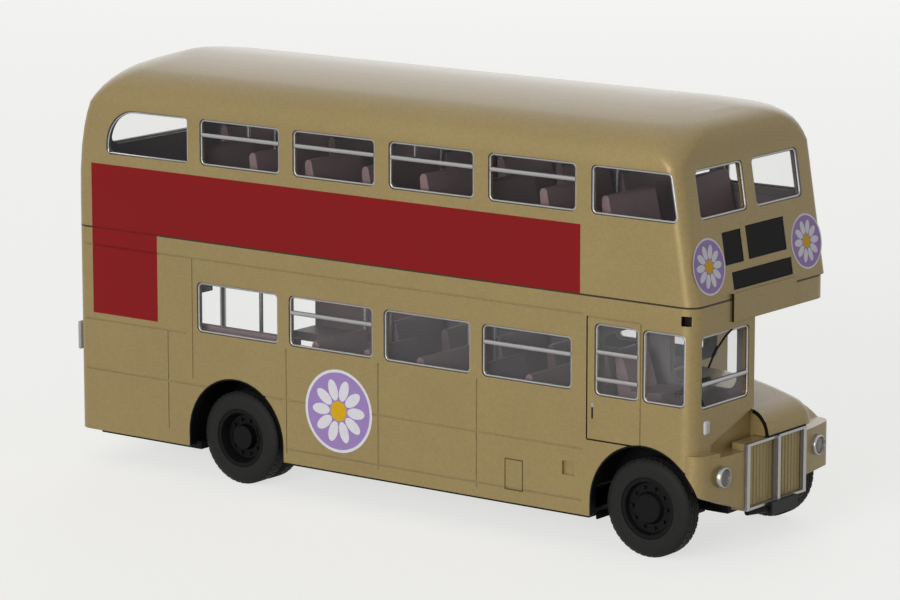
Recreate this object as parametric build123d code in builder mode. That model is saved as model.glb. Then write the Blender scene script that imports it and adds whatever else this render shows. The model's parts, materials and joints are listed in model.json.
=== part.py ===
"""Scale model of a half-cab double decker bus with an open rear platform, in millimetres.

X points forward, Y to the nearside (the left), Z up. The origin is on the floor under the middle of the bus.
The body is two shells that meet at a seam between the decks, over a chassis that carries two axles.
"""

from build123d import *

import os
from math import atan2, cos, degrees, radians, sin, sqrt, tan

# Main sizes of the body
length = 94.4
half_width = 14.0
wall = 1.0
fit = 0.05
lamp_box_proud = 0.5
plate_proud = 0.6
nose_step = 2.1
cab_length = 14.7
platform_length = 17.1
rear_x = lamp_box_proud - length / 2
nose_x = length / 2 - plate_proud
front_x = nose_x - nose_step
bulkhead_x = front_x - cab_length
platform_front = rear_x + platform_length
inside = half_width - wall
skirt_z = 3.85
seam_z = 29.3
lower_rear_corner = 2.0
cab_corner = 1.8
canopy_corner = 2.6

# Wheels and axles
axle_z = 5.65
tyre_radius = 5.65
rear_axle_x = rear_x + 25.45
front_axle_x = front_x - 6.6
arch_radius = 7.35
tyre_room = 0.7
wheel_face = half_width - 0.7
tyre_width = 2.5
twin_gap = 0.5
rim_radius = 3.55
tyre_shoulder = 0.4
axle_radius = 0.75
bearing_clearance = 0.05

# Windows of the upper deck
upper_sill = 38.5
upper_head = 44.1
upper_pillar = 2.0
upper_count = 4
front_quarter_back = bulkhead_x + 0.7
front_pillar = 0.75
window_corner = 0.7
rear_quarter_front = rear_x + 18.35
rear_quarter_back = rear_x + 5.35
rear_quarter_curve = 4.6
upper_back = rear_quarter_front + 1.85
upper_pitch = (front_quarter_back - upper_back) / upper_count
upper_width = upper_pitch - upper_pillar

# Windows of the lower deck
lower_sill = 18.1
lower_head = 24.25
lower_pillar = 1.6
lower_count = 4
lower_back = platform_front + 2.4
lower_front = bulkhead_x - 1.8
lower_pitch = (lower_front + lower_pillar - lower_back) / lower_count
lower_width = lower_pitch - lower_pillar

# Upper front: it leans back from the seam
front_lean = 9.5
upper_front_x = front_x - fit
lean = tan(radians(front_lean))
front_window_inner = 0.9
front_window_outer = half_width - 3.5

# Roof: where the walls end and the dome starts. A bend is the power of an end's curve,
# a growth is how fast its corners round off with height
curve_start = 32.7
wall_top = 44.6
crest_z = 50.3
shoulder = 4.5
tail_run = 9.0
tail_bend = 2.6
brow_run = 12.2
brow_bend = 5.4
rear_corner = 2.0
rear_growth = 0.62
front_corner = 1.6
front_growth = 1.0

# Cab, bulkhead and canopy
bulkhead_wall = 0.9
cab_inner_y = -1.7
cab_wall = 0.9
canopy_z = seam_z - 2.75
cab_sill = 17.9
cab_head = canopy_z - 0.35
door_rear = bulkhead_x + 0.3
door_front = bulkhead_x + 7.6
door_foot = 12.75
windscreen_outer = -(half_width - 1.5)
windscreen_inner = cab_inner_y - 1.0

# Nose: the fascia is bowed in plan between the two sides
nose_side_x = nose_x - 1.4
fascia_top = 12.6
fascia_foot = 5.5
fascia_rise = 2.6
grille_half = 6.2
grille_foot = 5.2
grille_head = 12.9
wing_face = half_width - 0.4
wing_radius = 8.6
wing_foot = 7.0
wing_top = 12.2
wing_corner = 2.0
bonnet_outer = wing_face - 4.4
bonnet_top = 17.9
bonnet_crown = 17.5
bonnet_front = 15.9
bonnet_foot = 8.0
bonnet_shoulder = 3.0

# Floors
chassis_foot = 3.35
chassis_top = 4.3
liner_radius = 7.9
liner_wall = 0.6
saloon_floor = 8.4
saloon_slab = 0.8
deck_floor = seam_z + 0.8
deck_slab = 1.65
deck_corner = 2.0
deck_support_z = deck_floor - deck_slab - fit
platform_floor = 5.7
entrance_head = 26.0
entrance_y = 5.5

# Seats
seat_depth = 5.3
seat_cushion = 4.0
seat_back = 9.8
seat_inner = 2.9
seat_outer = inside - 0.8
back_wall = 1.0

# Glazing
pane_set = 0.3
strip = 0.5
strip_margin = 0.8

# Surface lines moulded into the sides
groove_width = 0.18
groove_depth = 0.12

offside = -1
nearside = 1
upper_lefts = [front_quarter_back - (n + 1) * upper_pitch for n in range(upper_count)]
lower_lefts = [lower_front + lower_pillar - (n + 1) * lower_pitch for n in range(lower_count)]

# The roof's cross-section is a shoulder arc that runs into a wide crown arc
dome_rise = crest_z - wall_top
crown = ((half_width - shoulder) ** 2 + dome_rise ** 2 - shoulder ** 2) / (2 * (dome_rise - shoulder))
crown_z = crest_z - crown
shoulder_turn = 90 - degrees(atan2(half_width - shoulder, wall_top - crown_z))
wall_rows = [curve_start + (wall_top - curve_start) * share for share in (0, 0.28, 0.53, 0.74, 0.88)]
dome_rows = [wall_top + shoulder * sin(radians(shoulder_turn * n / 6)) for n in range(7)]
dome_rows += [crown_z + crown * cos(radians(90 - shoulder_turn) * share) for share in (0.78, 0.56, 0.34, 0.16, 0.05)]


def front_at(z):
    """X of the leaning upper front at a height."""
    return upper_front_x - (z - seam_z) * lean


def steepness(z):
    """How far the roof's surface faces up at a height: 0 on the walls, 1 on the crest."""
    if z <= wall_top:
        return 0.0
    return min(max((z - wall_top) / shoulder, 0.0), 1.0) if z <= dome_rows[6] else (z - crown_z) / crown


def half_at(z):
    """Half width of the upper body at a height."""
    if z <= wall_top:
        return half_width
    if z <= dome_rows[6]:
        return half_width - shoulder + sqrt(shoulder ** 2 - (z - wall_top) ** 2)
    return sqrt(crown ** 2 - (z - crown_z) ** 2)


def tail_at(z):
    """X of the tail, which curves in to the crest."""
    rise = max(z - curve_start, 0) / (crest_z - curve_start)
    return rear_x + tail_run * (1 - sqrt(1 - rise ** tail_bend))


def brow_at(z):
    """X of the front above the seam: it leans back, then curves over into the roof."""
    rise = max(z - wall_top, 0) / (crest_z - wall_top)
    return front_at(min(z, wall_top)) - brow_run * (1 - sqrt(1 - rise ** brow_bend))


def upper_section(z, inset):
    """One plan section of the upper body, drawn in by an inset square to the surface.

    Its corners are round outside, and cut straight across on the inside of the moulding.
    """
    up = steepness(z)
    side = inset * sqrt(1 - up ** 2)
    start, end, half = tail_at(z) + side, brow_at(z) - side, half_at(z) - side
    dome = max(z - wall_top, 0)
    rear_round = min(rear_corner + rear_growth * dome - side, 0.9 * half)
    front_round = min(front_corner + front_growth * dome - side, 0.9 * half)
    with BuildSketch(Plane.XY.offset(z - inset * up)) as section:
        with Locations(((start + end) / 2, 0)):
            Rectangle(end - start, 2 * half)
        if inset < wall:
            fillet(section.vertices().group_by(Axis.X)[0], rear_round)
            fillet(section.vertices().group_by(Axis.X)[-1], front_round)
        else:
            chamfer(section.vertices().group_by(Axis.X)[0], 0.8 * rear_round)
            chamfer(section.vertices().group_by(Axis.X)[-1], 0.8 * front_round)
    return section.sketch


def upper_body(inset, foot, step=1, mode=Mode.ADD):
    """Solid inside of the upper body at an inset: upright walls, curved tail and domed roof."""
    rows = [foot] + wall_rows[::step] + [wall_top] + dome_rows[step::step]
    if rows[-1] != dome_rows[-1]:
        rows.append(dome_rows[-1])
    loft([upper_section(z, inset) for z in rows], ruled=True, mode=mode)


def window_row(lefts, window_width, sill, head, grow=0.0):
    """Rounded window outlines in a row, on the sketch in hand."""
    centres = [(left + window_width / 2, (sill + head) / 2) for left in lefts]
    with Locations(*centres):
        RectangleRounded(window_width + 2 * grow, head - sill + 2 * grow, window_corner + grow)


def rear_quarter(grow=0.0):
    """Rearmost upper window, whose top corner follows the curve of the tail."""
    front, back = rear_quarter_front + grow, rear_quarter_back - grow
    sill, head = upper_sill - grow, upper_head + grow
    with BuildLine() as edge:
        FilletPolyline((back, head - rear_quarter_curve), (back, sill), (front, sill), (front, head),
                       (back + rear_quarter_curve, head), radius=window_corner + grow)
        RadiusArc((back + rear_quarter_curve, head), (back, head - rear_quarter_curve), -rear_quarter_curve)
    make_face(edge.edges())


def front_quarter(grow=0.0):
    """Foremost upper side window, whose front edge leans with the front of the bus."""
    sill, head = upper_sill - grow, upper_head + grow
    with BuildLine() as edge:
        FilletPolyline((front_quarter_back - grow, sill), (front_at(sill) - front_pillar + grow, sill),
                       (front_at(head) - front_pillar + grow, head), (front_quarter_back - grow, head),
                       radius=window_corner + grow, close=True)
    make_face(edge.edges())


# Plane of the upper front, with X across the bus and Y up the slope
front_plane = Plane(origin=(upper_front_x, 0, seam_z), x_dir=(0, 1, 0),
                    z_dir=(cos(radians(front_lean)), 0, sin(radians(front_lean))))


def up_front(z):
    """Distance up the leaning front for a height."""
    return (z - seam_z) / cos(radians(front_lean))


def front_windows(grow=0.0):
    """The two upper front windows, on a sketch in the front plane."""
    middle = (front_window_inner + front_window_outer) / 2
    height = (upper_head - upper_sill) / cos(radians(front_lean))
    with Locations(*[(side * middle, up_front((upper_sill + upper_head) / 2)) for side in (offside, nearside)]):
        RectangleRounded(front_window_outer - front_window_inner + 2 * grow, height + 2 * grow, window_corner + grow)


# Destination displays on the front. Columns: middle across, middle height, width, height
blind_rows = [
    (-4.9, 34.85, 3.9, 3.7),
    (1.95, 34.95, 8.0, 3.8),
    (0.4, 31.15, 12.4, 2.0),
]
blind_pocket = 0.35
blind_thickness = 0.25


def blinds(grow=0.0):
    """Display outlines, on a sketch in the front plane."""
    for across, height, wide, tall in blind_rows:
        with Locations((across, up_front(height))):
            Rectangle(wide + 2 * grow, tall + 2 * grow)


# Rear window and rear display of the upper deck
rear_window_half = 8.6
rear_window_curve = 1.6
rear_blind_z = 33.5
rear_blind_width = 7.0
rear_blind_height = 3.0


def rear_upper_window(grow=0.0):
    """Emergency window outline with round top corners, on a sketch across the tail."""
    with Locations((0, (upper_sill + upper_head) / 2)):
        RectangleRounded(2 * (rear_window_half + grow), upper_head - upper_sill + 2 * grow, rear_window_curve + grow)


tongue_half = 6.5
tongue_foot = seam_z - 2.6
tongue_head = seam_z + 0.6
tongue_proud = 0.25

# Upper shell: upper deck walls and roof in one moulding
with BuildPart() as upper_shell:
    upper_body(0, seam_z)
    upper_body(wall, seam_z - wall, 2, Mode.SUBTRACT)
    with BuildSketch(Plane.XZ):
        window_row(upper_lefts, upper_width, upper_sill, upper_head)
        rear_quarter()
    extrude(amount=half_width + wall, both=True, mode=Mode.SUBTRACT)
    for side in (offside, nearside):
        with BuildSketch(Plane.XZ.offset(-side * (inside - wall / 2))):
            front_quarter()
        extrude(amount=-side * 2 * wall, mode=Mode.SUBTRACT)
    with BuildSketch(front_plane):
        front_windows()
    extrude(amount=2 * wall, both=True, mode=Mode.SUBTRACT)
    with BuildSketch(front_plane):
        blinds()
    extrude(amount=-blind_pocket, mode=Mode.SUBTRACT)
    with BuildSketch(Plane.YZ.offset(rear_x - wall)):
        rear_upper_window()
    extrude(amount=5 * wall, mode=Mode.SUBTRACT)
    with BuildSketch(Plane.YZ.offset(rear_x)):
        with Locations((0, rear_blind_z)):
            Rectangle(rear_blind_width, rear_blind_height)
    extrude(amount=blind_pocket, mode=Mode.SUBTRACT)
    # Intake panel: a tongue that hangs over the canopy's edge
    with BuildSketch(Plane.YZ.offset(front_x + fit)):
        with Locations((0, (tongue_foot + tongue_head) / 2)):
            Rectangle(2 * tongue_half, tongue_head - tongue_foot)
    extrude(amount=tongue_proud)
    with BuildSketch(Plane.YZ.offset(front_at(seam_z) - wall / 2)):
        with Locations((0, (seam_z + tongue_head) / 2)):
            Rectangle(2 * tongue_half, tongue_head - seam_z)
    extrude(amount=front_x + fit + tongue_proud - front_at(seam_z) + wall / 2)

# Cab side windows. Columns: middle x, length
cab_windows = [(bulkhead_x + 4.3, 6.0), (bulkhead_x + 10.65, 5.7)]
cab_inner_window_x = bulkhead_x + 8.4
cab_inner_window = 9.0
cab_inner_corner = 1.6

# Lower shell: lower deck walls, driver's cab, bulkhead and canopy edge in one moulding
cab_floor_x = bulkhead_x + bulkhead_wall
cab_front_inner = front_x - wall
bow_depth = nose_x - nose_side_x
bow_radius = (half_width ** 2 + bow_depth ** 2) / (2 * bow_depth)
socket_size = 1.1
socket_depth = 0.7
socket_x = front_x - 1.2
socket_z = seam_z - 1.55
scuttle_top = 16.2
scuttle_side = 13.3
scuttle_outer = -10.5
scuttle_tip = 13.15
scuttle_tip_outer = -7.4
# Bulkhead windows. Columns: edge towards the middle, edge towards the side
bulkhead_windows = [(1.4, inside - 1.2), (cab_inner_y - cab_wall - 1.2, -(inside - 1.6))]
lower_rear_window = (-(inside - 3.1), 3.1)


def bow_at(y):
    """X of the bowed nose at a place across the bus."""
    return nose_x - bow_radius + sqrt(bow_radius ** 2 - y ** 2)


def bowed_block(y0, y1, back):
    """Plan of a piece of the nose between two places across, from a flat back to the bow."""
    middle = (y0 + y1) / 2
    with BuildLine() as edge:
        ThreePointArc((bow_at(y0), y0), (bow_at(middle), middle), (bow_at(y1), y1))
        Polyline((bow_at(y1), y1), (back, y1), (back, y0), (bow_at(y0), y0))
    make_face(edge.edges())


def across_windows(rows, grow=0.0):
    """Lower windows that face along the bus, on a sketch across it."""
    for inner, outer in rows:
        with Locations(((inner + outer) / 2, (lower_sill + lower_head) / 2)):
            RectangleRounded(abs(outer - inner) + 2 * grow, lower_head - lower_sill + 2 * grow, window_corner + grow)


# Grooves along both sides. Columns: start x, end x, height
long_grooves = [
    (rear_x + 1.2, bulkhead_x - 0.3, 27.05),
    (rear_x + 1.2, platform_front + 0.7, 17.75),
    (rear_x + 1.2, bulkhead_x - 0.3, 11.5),
    (lower_lefts[2] - 0.4, bulkhead_x - 0.3, 5.55),
]
# Grooves up both sides. Columns: x, foot, head
tall_grooves = [
    (platform_front - 2.2, 5.6, 17.7),
    (platform_front + 1.7, 12.3, 27.0),
    (lower_lefts[2] - 0.4, 5.0, 17.7),
    (lower_lefts[1] - 0.8, 5.0, 17.7),
    (lower_lefts[0] - 0.7, 5.0, 17.7),
]


def groove_box(x0, x1, z0, z1, side):
    """Shallow cut in one side face."""
    with Locations(((x0 + x1) / 2, side * half_width, (z0 + z1) / 2)):
        Box(x1 - x0, 2 * groove_depth, z1 - z0, mode=Mode.SUBTRACT)


with BuildPart() as lower_shell:
    with BuildSketch(Plane.XY.offset(skirt_z)) as plan:
        with Locations(((rear_x + front_x) / 2, 0)):
            Rectangle(front_x - rear_x, 2 * half_width)
        fillet(plan.vertices().group_by(Axis.X)[0], lower_rear_corner)
        fillet(plan.vertices().group_by(Axis.X)[-1].sort_by(Axis.Y)[0], cab_corner)
        fillet(plan.vertices().group_by(Axis.X)[-1].sort_by(Axis.Y)[-1], canopy_corner)
    extrude(amount=seam_z - skirt_z)
    # Offside half of the fascia, whose foot rises to the side, and the scuttle that slopes down to the grille
    with BuildSketch(Plane.XY.offset(fascia_foot)):
        bowed_block(-half_width, -grille_half - fit, front_x - wall)
        fillet(vertices().sort_by_distance((bow_at(half_width), -half_width))[0], cab_corner)
    extrude(amount=fascia_top - fascia_foot)
    with BuildSketch(Plane.YZ.offset(front_x - wall)):
        with BuildLine():
            Polyline((-grille_half - fit, fascia_foot), (-half_width, fascia_foot + fascia_rise),
                     (-half_width - wall, fascia_foot + fascia_rise), (-half_width - wall, fascia_foot), close=True)
        make_face()
    extrude(amount=3 * nose_step, mode=Mode.SUBTRACT)
    with BuildSketch(Plane.YZ.offset(front_x - wall / 2)) as scuttle_back:
        with BuildLine():
            Polyline((cab_inner_y, fascia_top - wall / 2), (cab_inner_y, scuttle_top), (scuttle_outer, scuttle_side),
                     (scuttle_outer, fascia_top - wall / 2), close=True)
        make_face()
    with BuildSketch(Plane.YZ.offset(bow_at(scuttle_tip_outer) - fit)) as scuttle_front:
        with BuildLine():
            Polyline((cab_inner_y, fascia_top - wall / 2), (cab_inner_y, scuttle_tip),
                     (scuttle_tip_outer, scuttle_tip), (scuttle_tip_outer, fascia_top - wall / 2), close=True)
        make_face()
    loft([scuttle_back.sketch, scuttle_front.sketch], ruled=True)
    with BuildSketch(Plane.YZ.offset(front_x)):
        with Locations((0, (fascia_foot + grille_head + fit) / 2)):
            Rectangle(2 * (grille_half + fit), grille_head + fit - fascia_foot)
    extrude(amount=2 * nose_step, mode=Mode.SUBTRACT)
    # Saloon
    with BuildSketch(Plane.XY.offset(skirt_z - wall)) as saloon_plan:
        with Locations(((rear_x + wall + bulkhead_x) / 2, 0)):
            Rectangle(bulkhead_x - rear_x - wall, 2 * inside)
        fillet(saloon_plan.vertices().group_by(Axis.X)[0], lower_rear_corner - wall)
    extrude(amount=seam_z - skirt_z + 2 * wall, mode=Mode.SUBTRACT)
    # Cab
    with BuildSketch(Plane.XY.offset(skirt_z - wall)):
        with Locations(((cab_floor_x + cab_front_inner) / 2, (cab_inner_y - cab_wall - inside) / 2)):
            Rectangle(cab_front_inner - cab_floor_x, inside + cab_inner_y - cab_wall)
    extrude(amount=seam_z - skirt_z + 2 * wall, mode=Mode.SUBTRACT)
    # Open bay beside the cab for the bonnet, with the canopy above it
    with BuildSketch(Plane.XY.offset(skirt_z - wall)):
        with Locations(((cab_floor_x + nose_x + wall) / 2, (cab_inner_y + half_width + wall) / 2)):
            Rectangle(nose_x + wall - cab_floor_x, half_width + wall - cab_inner_y)
    extrude(amount=canopy_z - skirt_z + wall, mode=Mode.SUBTRACT)
    with BuildSketch(Plane.XY.offset(canopy_z + wall)):
        with Locations(((cab_floor_x + cab_front_inner) / 2, (cab_inner_y + inside) / 2)):
            Rectangle(cab_front_inner - cab_floor_x, inside - cab_inner_y)
    extrude(amount=seam_z - canopy_z, mode=Mode.SUBTRACT)
    # The upper deck rests on the bulkhead and the cab's inner wall
    with BuildSketch(Plane.XY.offset(deck_support_z)):
        with Locations(((bulkhead_x + cab_front_inner) / 2, 0)):
            Rectangle(cab_front_inner - bulkhead_x, 2 * inside)
    extrude(amount=seam_z - deck_support_z, mode=Mode.SUBTRACT)
    # Inner walls stop above the axle and the floor pan
    with BuildSketch(Plane.XY.offset(skirt_z - wall)):
        with Locations(((bulkhead_x + cab_front_inner) / 2, 0)):
            Rectangle(cab_front_inner - bulkhead_x, 2 * inside)
    extrude(amount=bonnet_foot - skirt_z + wall, mode=Mode.SUBTRACT)
    # The front wall starts at the fascia's foot
    with BuildSketch(Plane.XY.offset(skirt_z - wall)):
        with Locations((front_x, 0)):
            Rectangle(4 * wall, 2 * half_width)
    extrude(amount=fascia_foot - skirt_z + wall, mode=Mode.SUBTRACT)
    # Side windows, both sides
    with BuildSketch(Plane.XZ):
        window_row(lower_lefts, lower_width, lower_sill, lower_head)
    extrude(amount=half_width + wall, both=True, mode=Mode.SUBTRACT)
    # Cab door window, cab quarter window and the cab's inner window
    with BuildSketch(Plane.XZ.offset(inside - wall)):
        for x, wide in cab_windows:
            with Locations((x, (cab_sill + cab_head) / 2)):
                RectangleRounded(wide, cab_head - cab_sill, window_corner)
    extrude(amount=3 * wall, mode=Mode.SUBTRACT)
    with BuildSketch(Plane.XZ.offset(-cab_inner_y - wall)):
        with Locations((cab_inner_window_x, (cab_sill + cab_head) / 2)):
            RectangleRounded(cab_inner_window, cab_head - cab_sill, cab_inner_corner)
    extrude(amount=3 * wall, mode=Mode.SUBTRACT)
    # Windscreen
    with BuildSketch(Plane.YZ.offset(front_x - 2 * wall)):
        with Locations(((windscreen_outer + windscreen_inner) / 2, (cab_sill + cab_head) / 2 - 0.3)):
            RectangleRounded(windscreen_inner - windscreen_outer, cab_head - cab_sill, window_corner)
    extrude(amount=3 * wall, mode=Mode.SUBTRACT)
    # Bulkhead windows and the lower rear window
    with BuildSketch(Plane.YZ.offset(bulkhead_x - wall)):
        across_windows(bulkhead_windows)
    extrude(amount=3 * wall, mode=Mode.SUBTRACT)
    with BuildSketch(Plane.YZ.offset(rear_x - wall)):
        across_windows([lower_rear_window])
    extrude(amount=3 * wall, mode=Mode.SUBTRACT)
    # Open entrance round the nearside rear corner
    with BuildSketch(Plane.XY.offset(platform_floor)):
        with Locations(((rear_x - wall + platform_front) / 2, (entrance_y + half_width + wall) / 2)):
            Rectangle(platform_front - rear_x + wall, half_width + wall - entrance_y)
    extrude(amount=entrance_head - platform_floor, mode=Mode.SUBTRACT)
    # Wheel arches: both sides at the rear, offside at the front
    with BuildSketch(Plane.XZ):
        with Locations((rear_axle_x, axle_z)):
            Circle(arch_radius)
            with Locations((0, -arch_radius / 2)):
                Rectangle(2 * arch_radius, arch_radius)
    extrude(amount=half_width + wall, both=True, mode=Mode.SUBTRACT)
    with BuildSketch(Plane.XZ.offset(inside - wall)):
        with Locations((front_axle_x, axle_z)):
            Circle(arch_radius)
            with Locations((0, -arch_radius / 2)):
                Rectangle(2 * arch_radius, arch_radius)
    extrude(amount=4 * wall, mode=Mode.SUBTRACT)
    with BuildSketch(Plane.XZ.offset(wheel_face - tyre_width - 2 * wall)):
        with Locations((front_axle_x, axle_z)):
            Circle(tyre_radius + tyre_room)
    extrude(amount=tyre_width + wall, mode=Mode.SUBTRACT)
    # Panel lines, door line, mirror socket and foothold
    for side in (offside, nearside):
        for x0, x1, z in long_grooves:
            groove_box(x0, x1, z - groove_width / 2, z + groove_width / 2, side)
        for x, z0, z1 in tall_grooves:
            groove_box(x - groove_width / 2, x + groove_width / 2, z0, z1, side)
    for x in (door_rear, door_front):
        groove_box(x - groove_width / 2, x + groove_width / 2, door_foot, cab_head + 0.6, offside)
    for z in (door_foot, cab_head + 0.6):
        groove_box(door_rear, door_front, z - groove_width / 2, z + groove_width / 2, offside)
    with Locations((socket_x, -half_width, socket_z)):
        Box(socket_size, 2 * socket_depth, socket_size, mode=Mode.SUBTRACT)
    with Locations((bulkhead_x - 2.2, -half_width, 9.0)):
        Box(1.7, 2 * 0.4, 1.6, mode=Mode.SUBTRACT)

# Bonnet: closed housing with a rounded nose over the grille
bonnet_rear = cab_floor_x + fit
bonnet_inner = cab_inner_y + fit
bonnet_nose = 2.2
bonnet_back = front_x
with BuildPart() as bonnet:
    with BuildSketch(Plane.XZ.offset(-bonnet_outer)):
        with BuildLine():
            Polyline((bonnet_rear, bonnet_foot), (bonnet_rear, bonnet_top))
            fall = ThreePointArc((bonnet_rear, bonnet_top), ((bonnet_rear + nose_x - bonnet_nose) / 2, bonnet_crown),
                                 (nose_x - bonnet_nose, bonnet_front))
            TangentArc(fall @ 1, (nose_x - 0.1, grille_head + fit), tangent=fall % 1)
            Polyline((nose_x - 0.1, grille_head + fit), (nose_x - 0.1, bonnet_foot), (bonnet_rear, bonnet_foot))
        make_face()
    extrude(amount=bonnet_outer - bonnet_inner)
    outer_edges = bonnet.faces().sort_by(Axis.Y)[-1].edges()
    fillet(outer_edges.filter_by(lambda edge: edge.center().Z > bonnet_foot + 1 and edge.center().X > bonnet_rear + 1),
           bonnet_shoulder)
    with BuildSketch(Plane.XZ.offset(-half_width)):
        with Locations(((bonnet_back + nose_x) / 2, grille_head + fit - 5)):
            Rectangle(nose_x - bonnet_back, 10)
    extrude(amount=2 * half_width, mode=Mode.SUBTRACT)

# Nearside wing: mudguard over the wheel with its piece of the fascia
with BuildPart() as nearside_wing:
    with BuildSketch(Plane.XY.offset(wing_foot)):
        bowed_block(bonnet_outer + fit, wing_face, bonnet_back - 2 * wall)
        fillet(vertices().sort_by_distance((bow_at(wing_face), wing_face))[0], wing_corner)
    extrude(amount=wing_top - wing_foot)
    with BuildSketch(Plane.XZ.offset(-wing_face)):
        with Locations((front_axle_x, axle_z)):
            Circle(wing_radius)
        with Locations(((bonnet_rear + bonnet_back) / 2, wing_foot + wing_radius / 2)):
            Rectangle(bonnet_back - bonnet_rear, wing_radius, mode=Mode.INTERSECT)
    extrude(amount=wing_face - bonnet_outer - fit)
    with BuildSketch(Plane.XZ.offset(-wing_face)):
        with Locations((front_axle_x, axle_z)):
            Circle(arch_radius)
    extrude(amount=wing_face - bonnet_outer, mode=Mode.SUBTRACT)
    with BuildSketch(Plane.XY.offset(wing_foot)):
        bowed_block(grille_half + fit, bonnet_outer + wall, bonnet_back + fit)
    extrude(amount=wing_top - wing_foot)

# Radiator grille: gold core with upright slats, in a bright frame
grille_back = bonnet_back + fit
grille_core = nose_x - 0.5
frame_bar = 0.55
frame_edge = 0.3
slat_count = 8
slat_width = 0.34
slat_proud = 0.2
bar_proud = 0.35
slat_room = grille_half - 1.5 * frame_bar
with BuildPart() as radiator_grille:
    with BuildSketch(Plane.YZ.offset(grille_back)):
        with Locations((0, (grille_foot + grille_head) / 2)):
            Rectangle(2 * grille_half, grille_head - grille_foot)
    extrude(amount=grille_core - grille_back)
    with BuildSketch(Plane.YZ.offset(grille_core)):
        for side in (offside, nearside):
            for n in range(slat_count):
                across = side * (frame_bar / 2 + slat_room * (n + 0.5) / slat_count)
                with Locations((across, (grille_foot + grille_head) / 2)):
                    Rectangle(slat_width, grille_head - grille_foot - 2 * frame_edge - 2 * fit)
    extrude(amount=slat_proud)

with BuildPart() as radiator_frame:
    with BuildSketch(Plane.YZ.offset(grille_core + fit)):
        with Locations((0, (grille_foot + grille_head) / 2)):
            Rectangle(2 * grille_half, grille_head - grille_foot)
        with Locations(*[(side * (grille_half - frame_bar / 2) / 2 - side * frame_bar / 8,
                          (grille_foot + grille_head) / 2) for side in (offside, nearside)]):
            Rectangle(slat_room, grille_head - grille_foot - 2 * frame_edge, mode=Mode.SUBTRACT)
    extrude(amount=nose_x - grille_core)
    with BuildSketch(Plane.YZ.offset(nose_x)):
        with Locations((0, (grille_foot + grille_head) / 2)):
            Rectangle(frame_bar, grille_head - grille_foot)
    extrude(amount=bar_proud)

# Lamps on the nose. Columns: middle across, height
lamp_rows = [(-(half_width - 3.6), 9.9), (half_width - 4.6, 10.0)]
lamp_radius = 0.95
lamp_rim = 0.3
lamp_depth = 0.4
with BuildPart() as headlamp_rims:
    for across, height in lamp_rows:
        with BuildSketch(Plane.YZ.offset(bow_at(abs(across) - lamp_radius - lamp_rim) + fit)):
            with Locations((across, height)):
                Circle(lamp_radius + lamp_rim)
                Circle(lamp_radius, mode=Mode.SUBTRACT)
        extrude(amount=lamp_depth)
with BuildPart() as headlamp_lenses:
    for across, height in lamp_rows:
        with BuildSketch(Plane.YZ.offset(bow_at(abs(across) - lamp_radius - lamp_rim) + fit)):
            with Locations((across, height)):
                Circle(lamp_radius - fit)
        extrude(amount=lamp_depth + 0.15)

# Number plates, left blank
plate_width = 5.4
plate_height = 1.5
plate_y = 0.9
plate_lap = 0.25
with BuildPart() as front_plate:
    with BuildSketch(Plane.YZ.offset(nose_x + fit)):
        with Locations((plate_y, grille_foot + plate_lap - plate_height / 2)):
            Rectangle(plate_width, plate_height)
    extrude(amount=plate_proud - fit)
    with BuildSketch(Plane.YZ.offset(nose_x + fit)):
        with Locations((0, grille_foot + 5)):
            Rectangle(frame_bar + 2 * fit, 10)
    extrude(amount=bar_proud + fit, mode=Mode.SUBTRACT)

# Destination displays, left blank
with BuildPart() as front_displays:
    with BuildSketch(front_plane.offset(-blind_pocket)):
        blinds(-fit)
    extrude(amount=blind_thickness)
with BuildPart() as rear_display:
    with BuildSketch(Plane.YZ.offset(rear_x + blind_pocket)):
        with Locations((0, rear_blind_z)):
            Rectangle(rear_blind_width - 2 * fit, rear_blind_height - 2 * fit)
    extrude(amount=-blind_thickness)

# Rear lamps and the lamp box over the rear number plate
rear_lamp_box_z = 15.2
with BuildPart() as rear_lamp_box:
    with BuildSketch(Plane.YZ.offset(rear_x - fit)):
        with Locations((-(half_width - 2.0), rear_lamp_box_z)):
            Rectangle(2.4, 3.5)
    extrude(amount=-(lamp_box_proud - fit))
with BuildPart() as tail_lamps:
    with BuildSketch(Plane.YZ.offset(rear_x - fit)):
        with Locations((-(half_width - 3.0), 8.6), (3.6, 8.6)):
            Circle(0.85)
    extrude(amount=-0.4)
with BuildPart() as rear_plate:
    with BuildSketch(Plane.YZ.offset(rear_x - fit)):
        with Locations((-(half_width - 7.6), rear_lamp_box_z)):
            Rectangle(7.0, 1.7)
    extrude(amount=-0.3)

# Chassis: floor pan, wheel-arch liners and axle bearings in one moulding
deck_rear = rear_x + wall + fit
bearing_wall = 1.2
bearing_half = 1.7
bearing_top = saloon_floor - saloon_slab - fit
liner_face = inside - fit
front_liner_inner = wheel_face - tyre_width - 1.2
rear_liner_inner = wheel_face - 2 * tyre_width - twin_gap - 0.9
bearing_y = 4.6
liner_lip = 8.0
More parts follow.
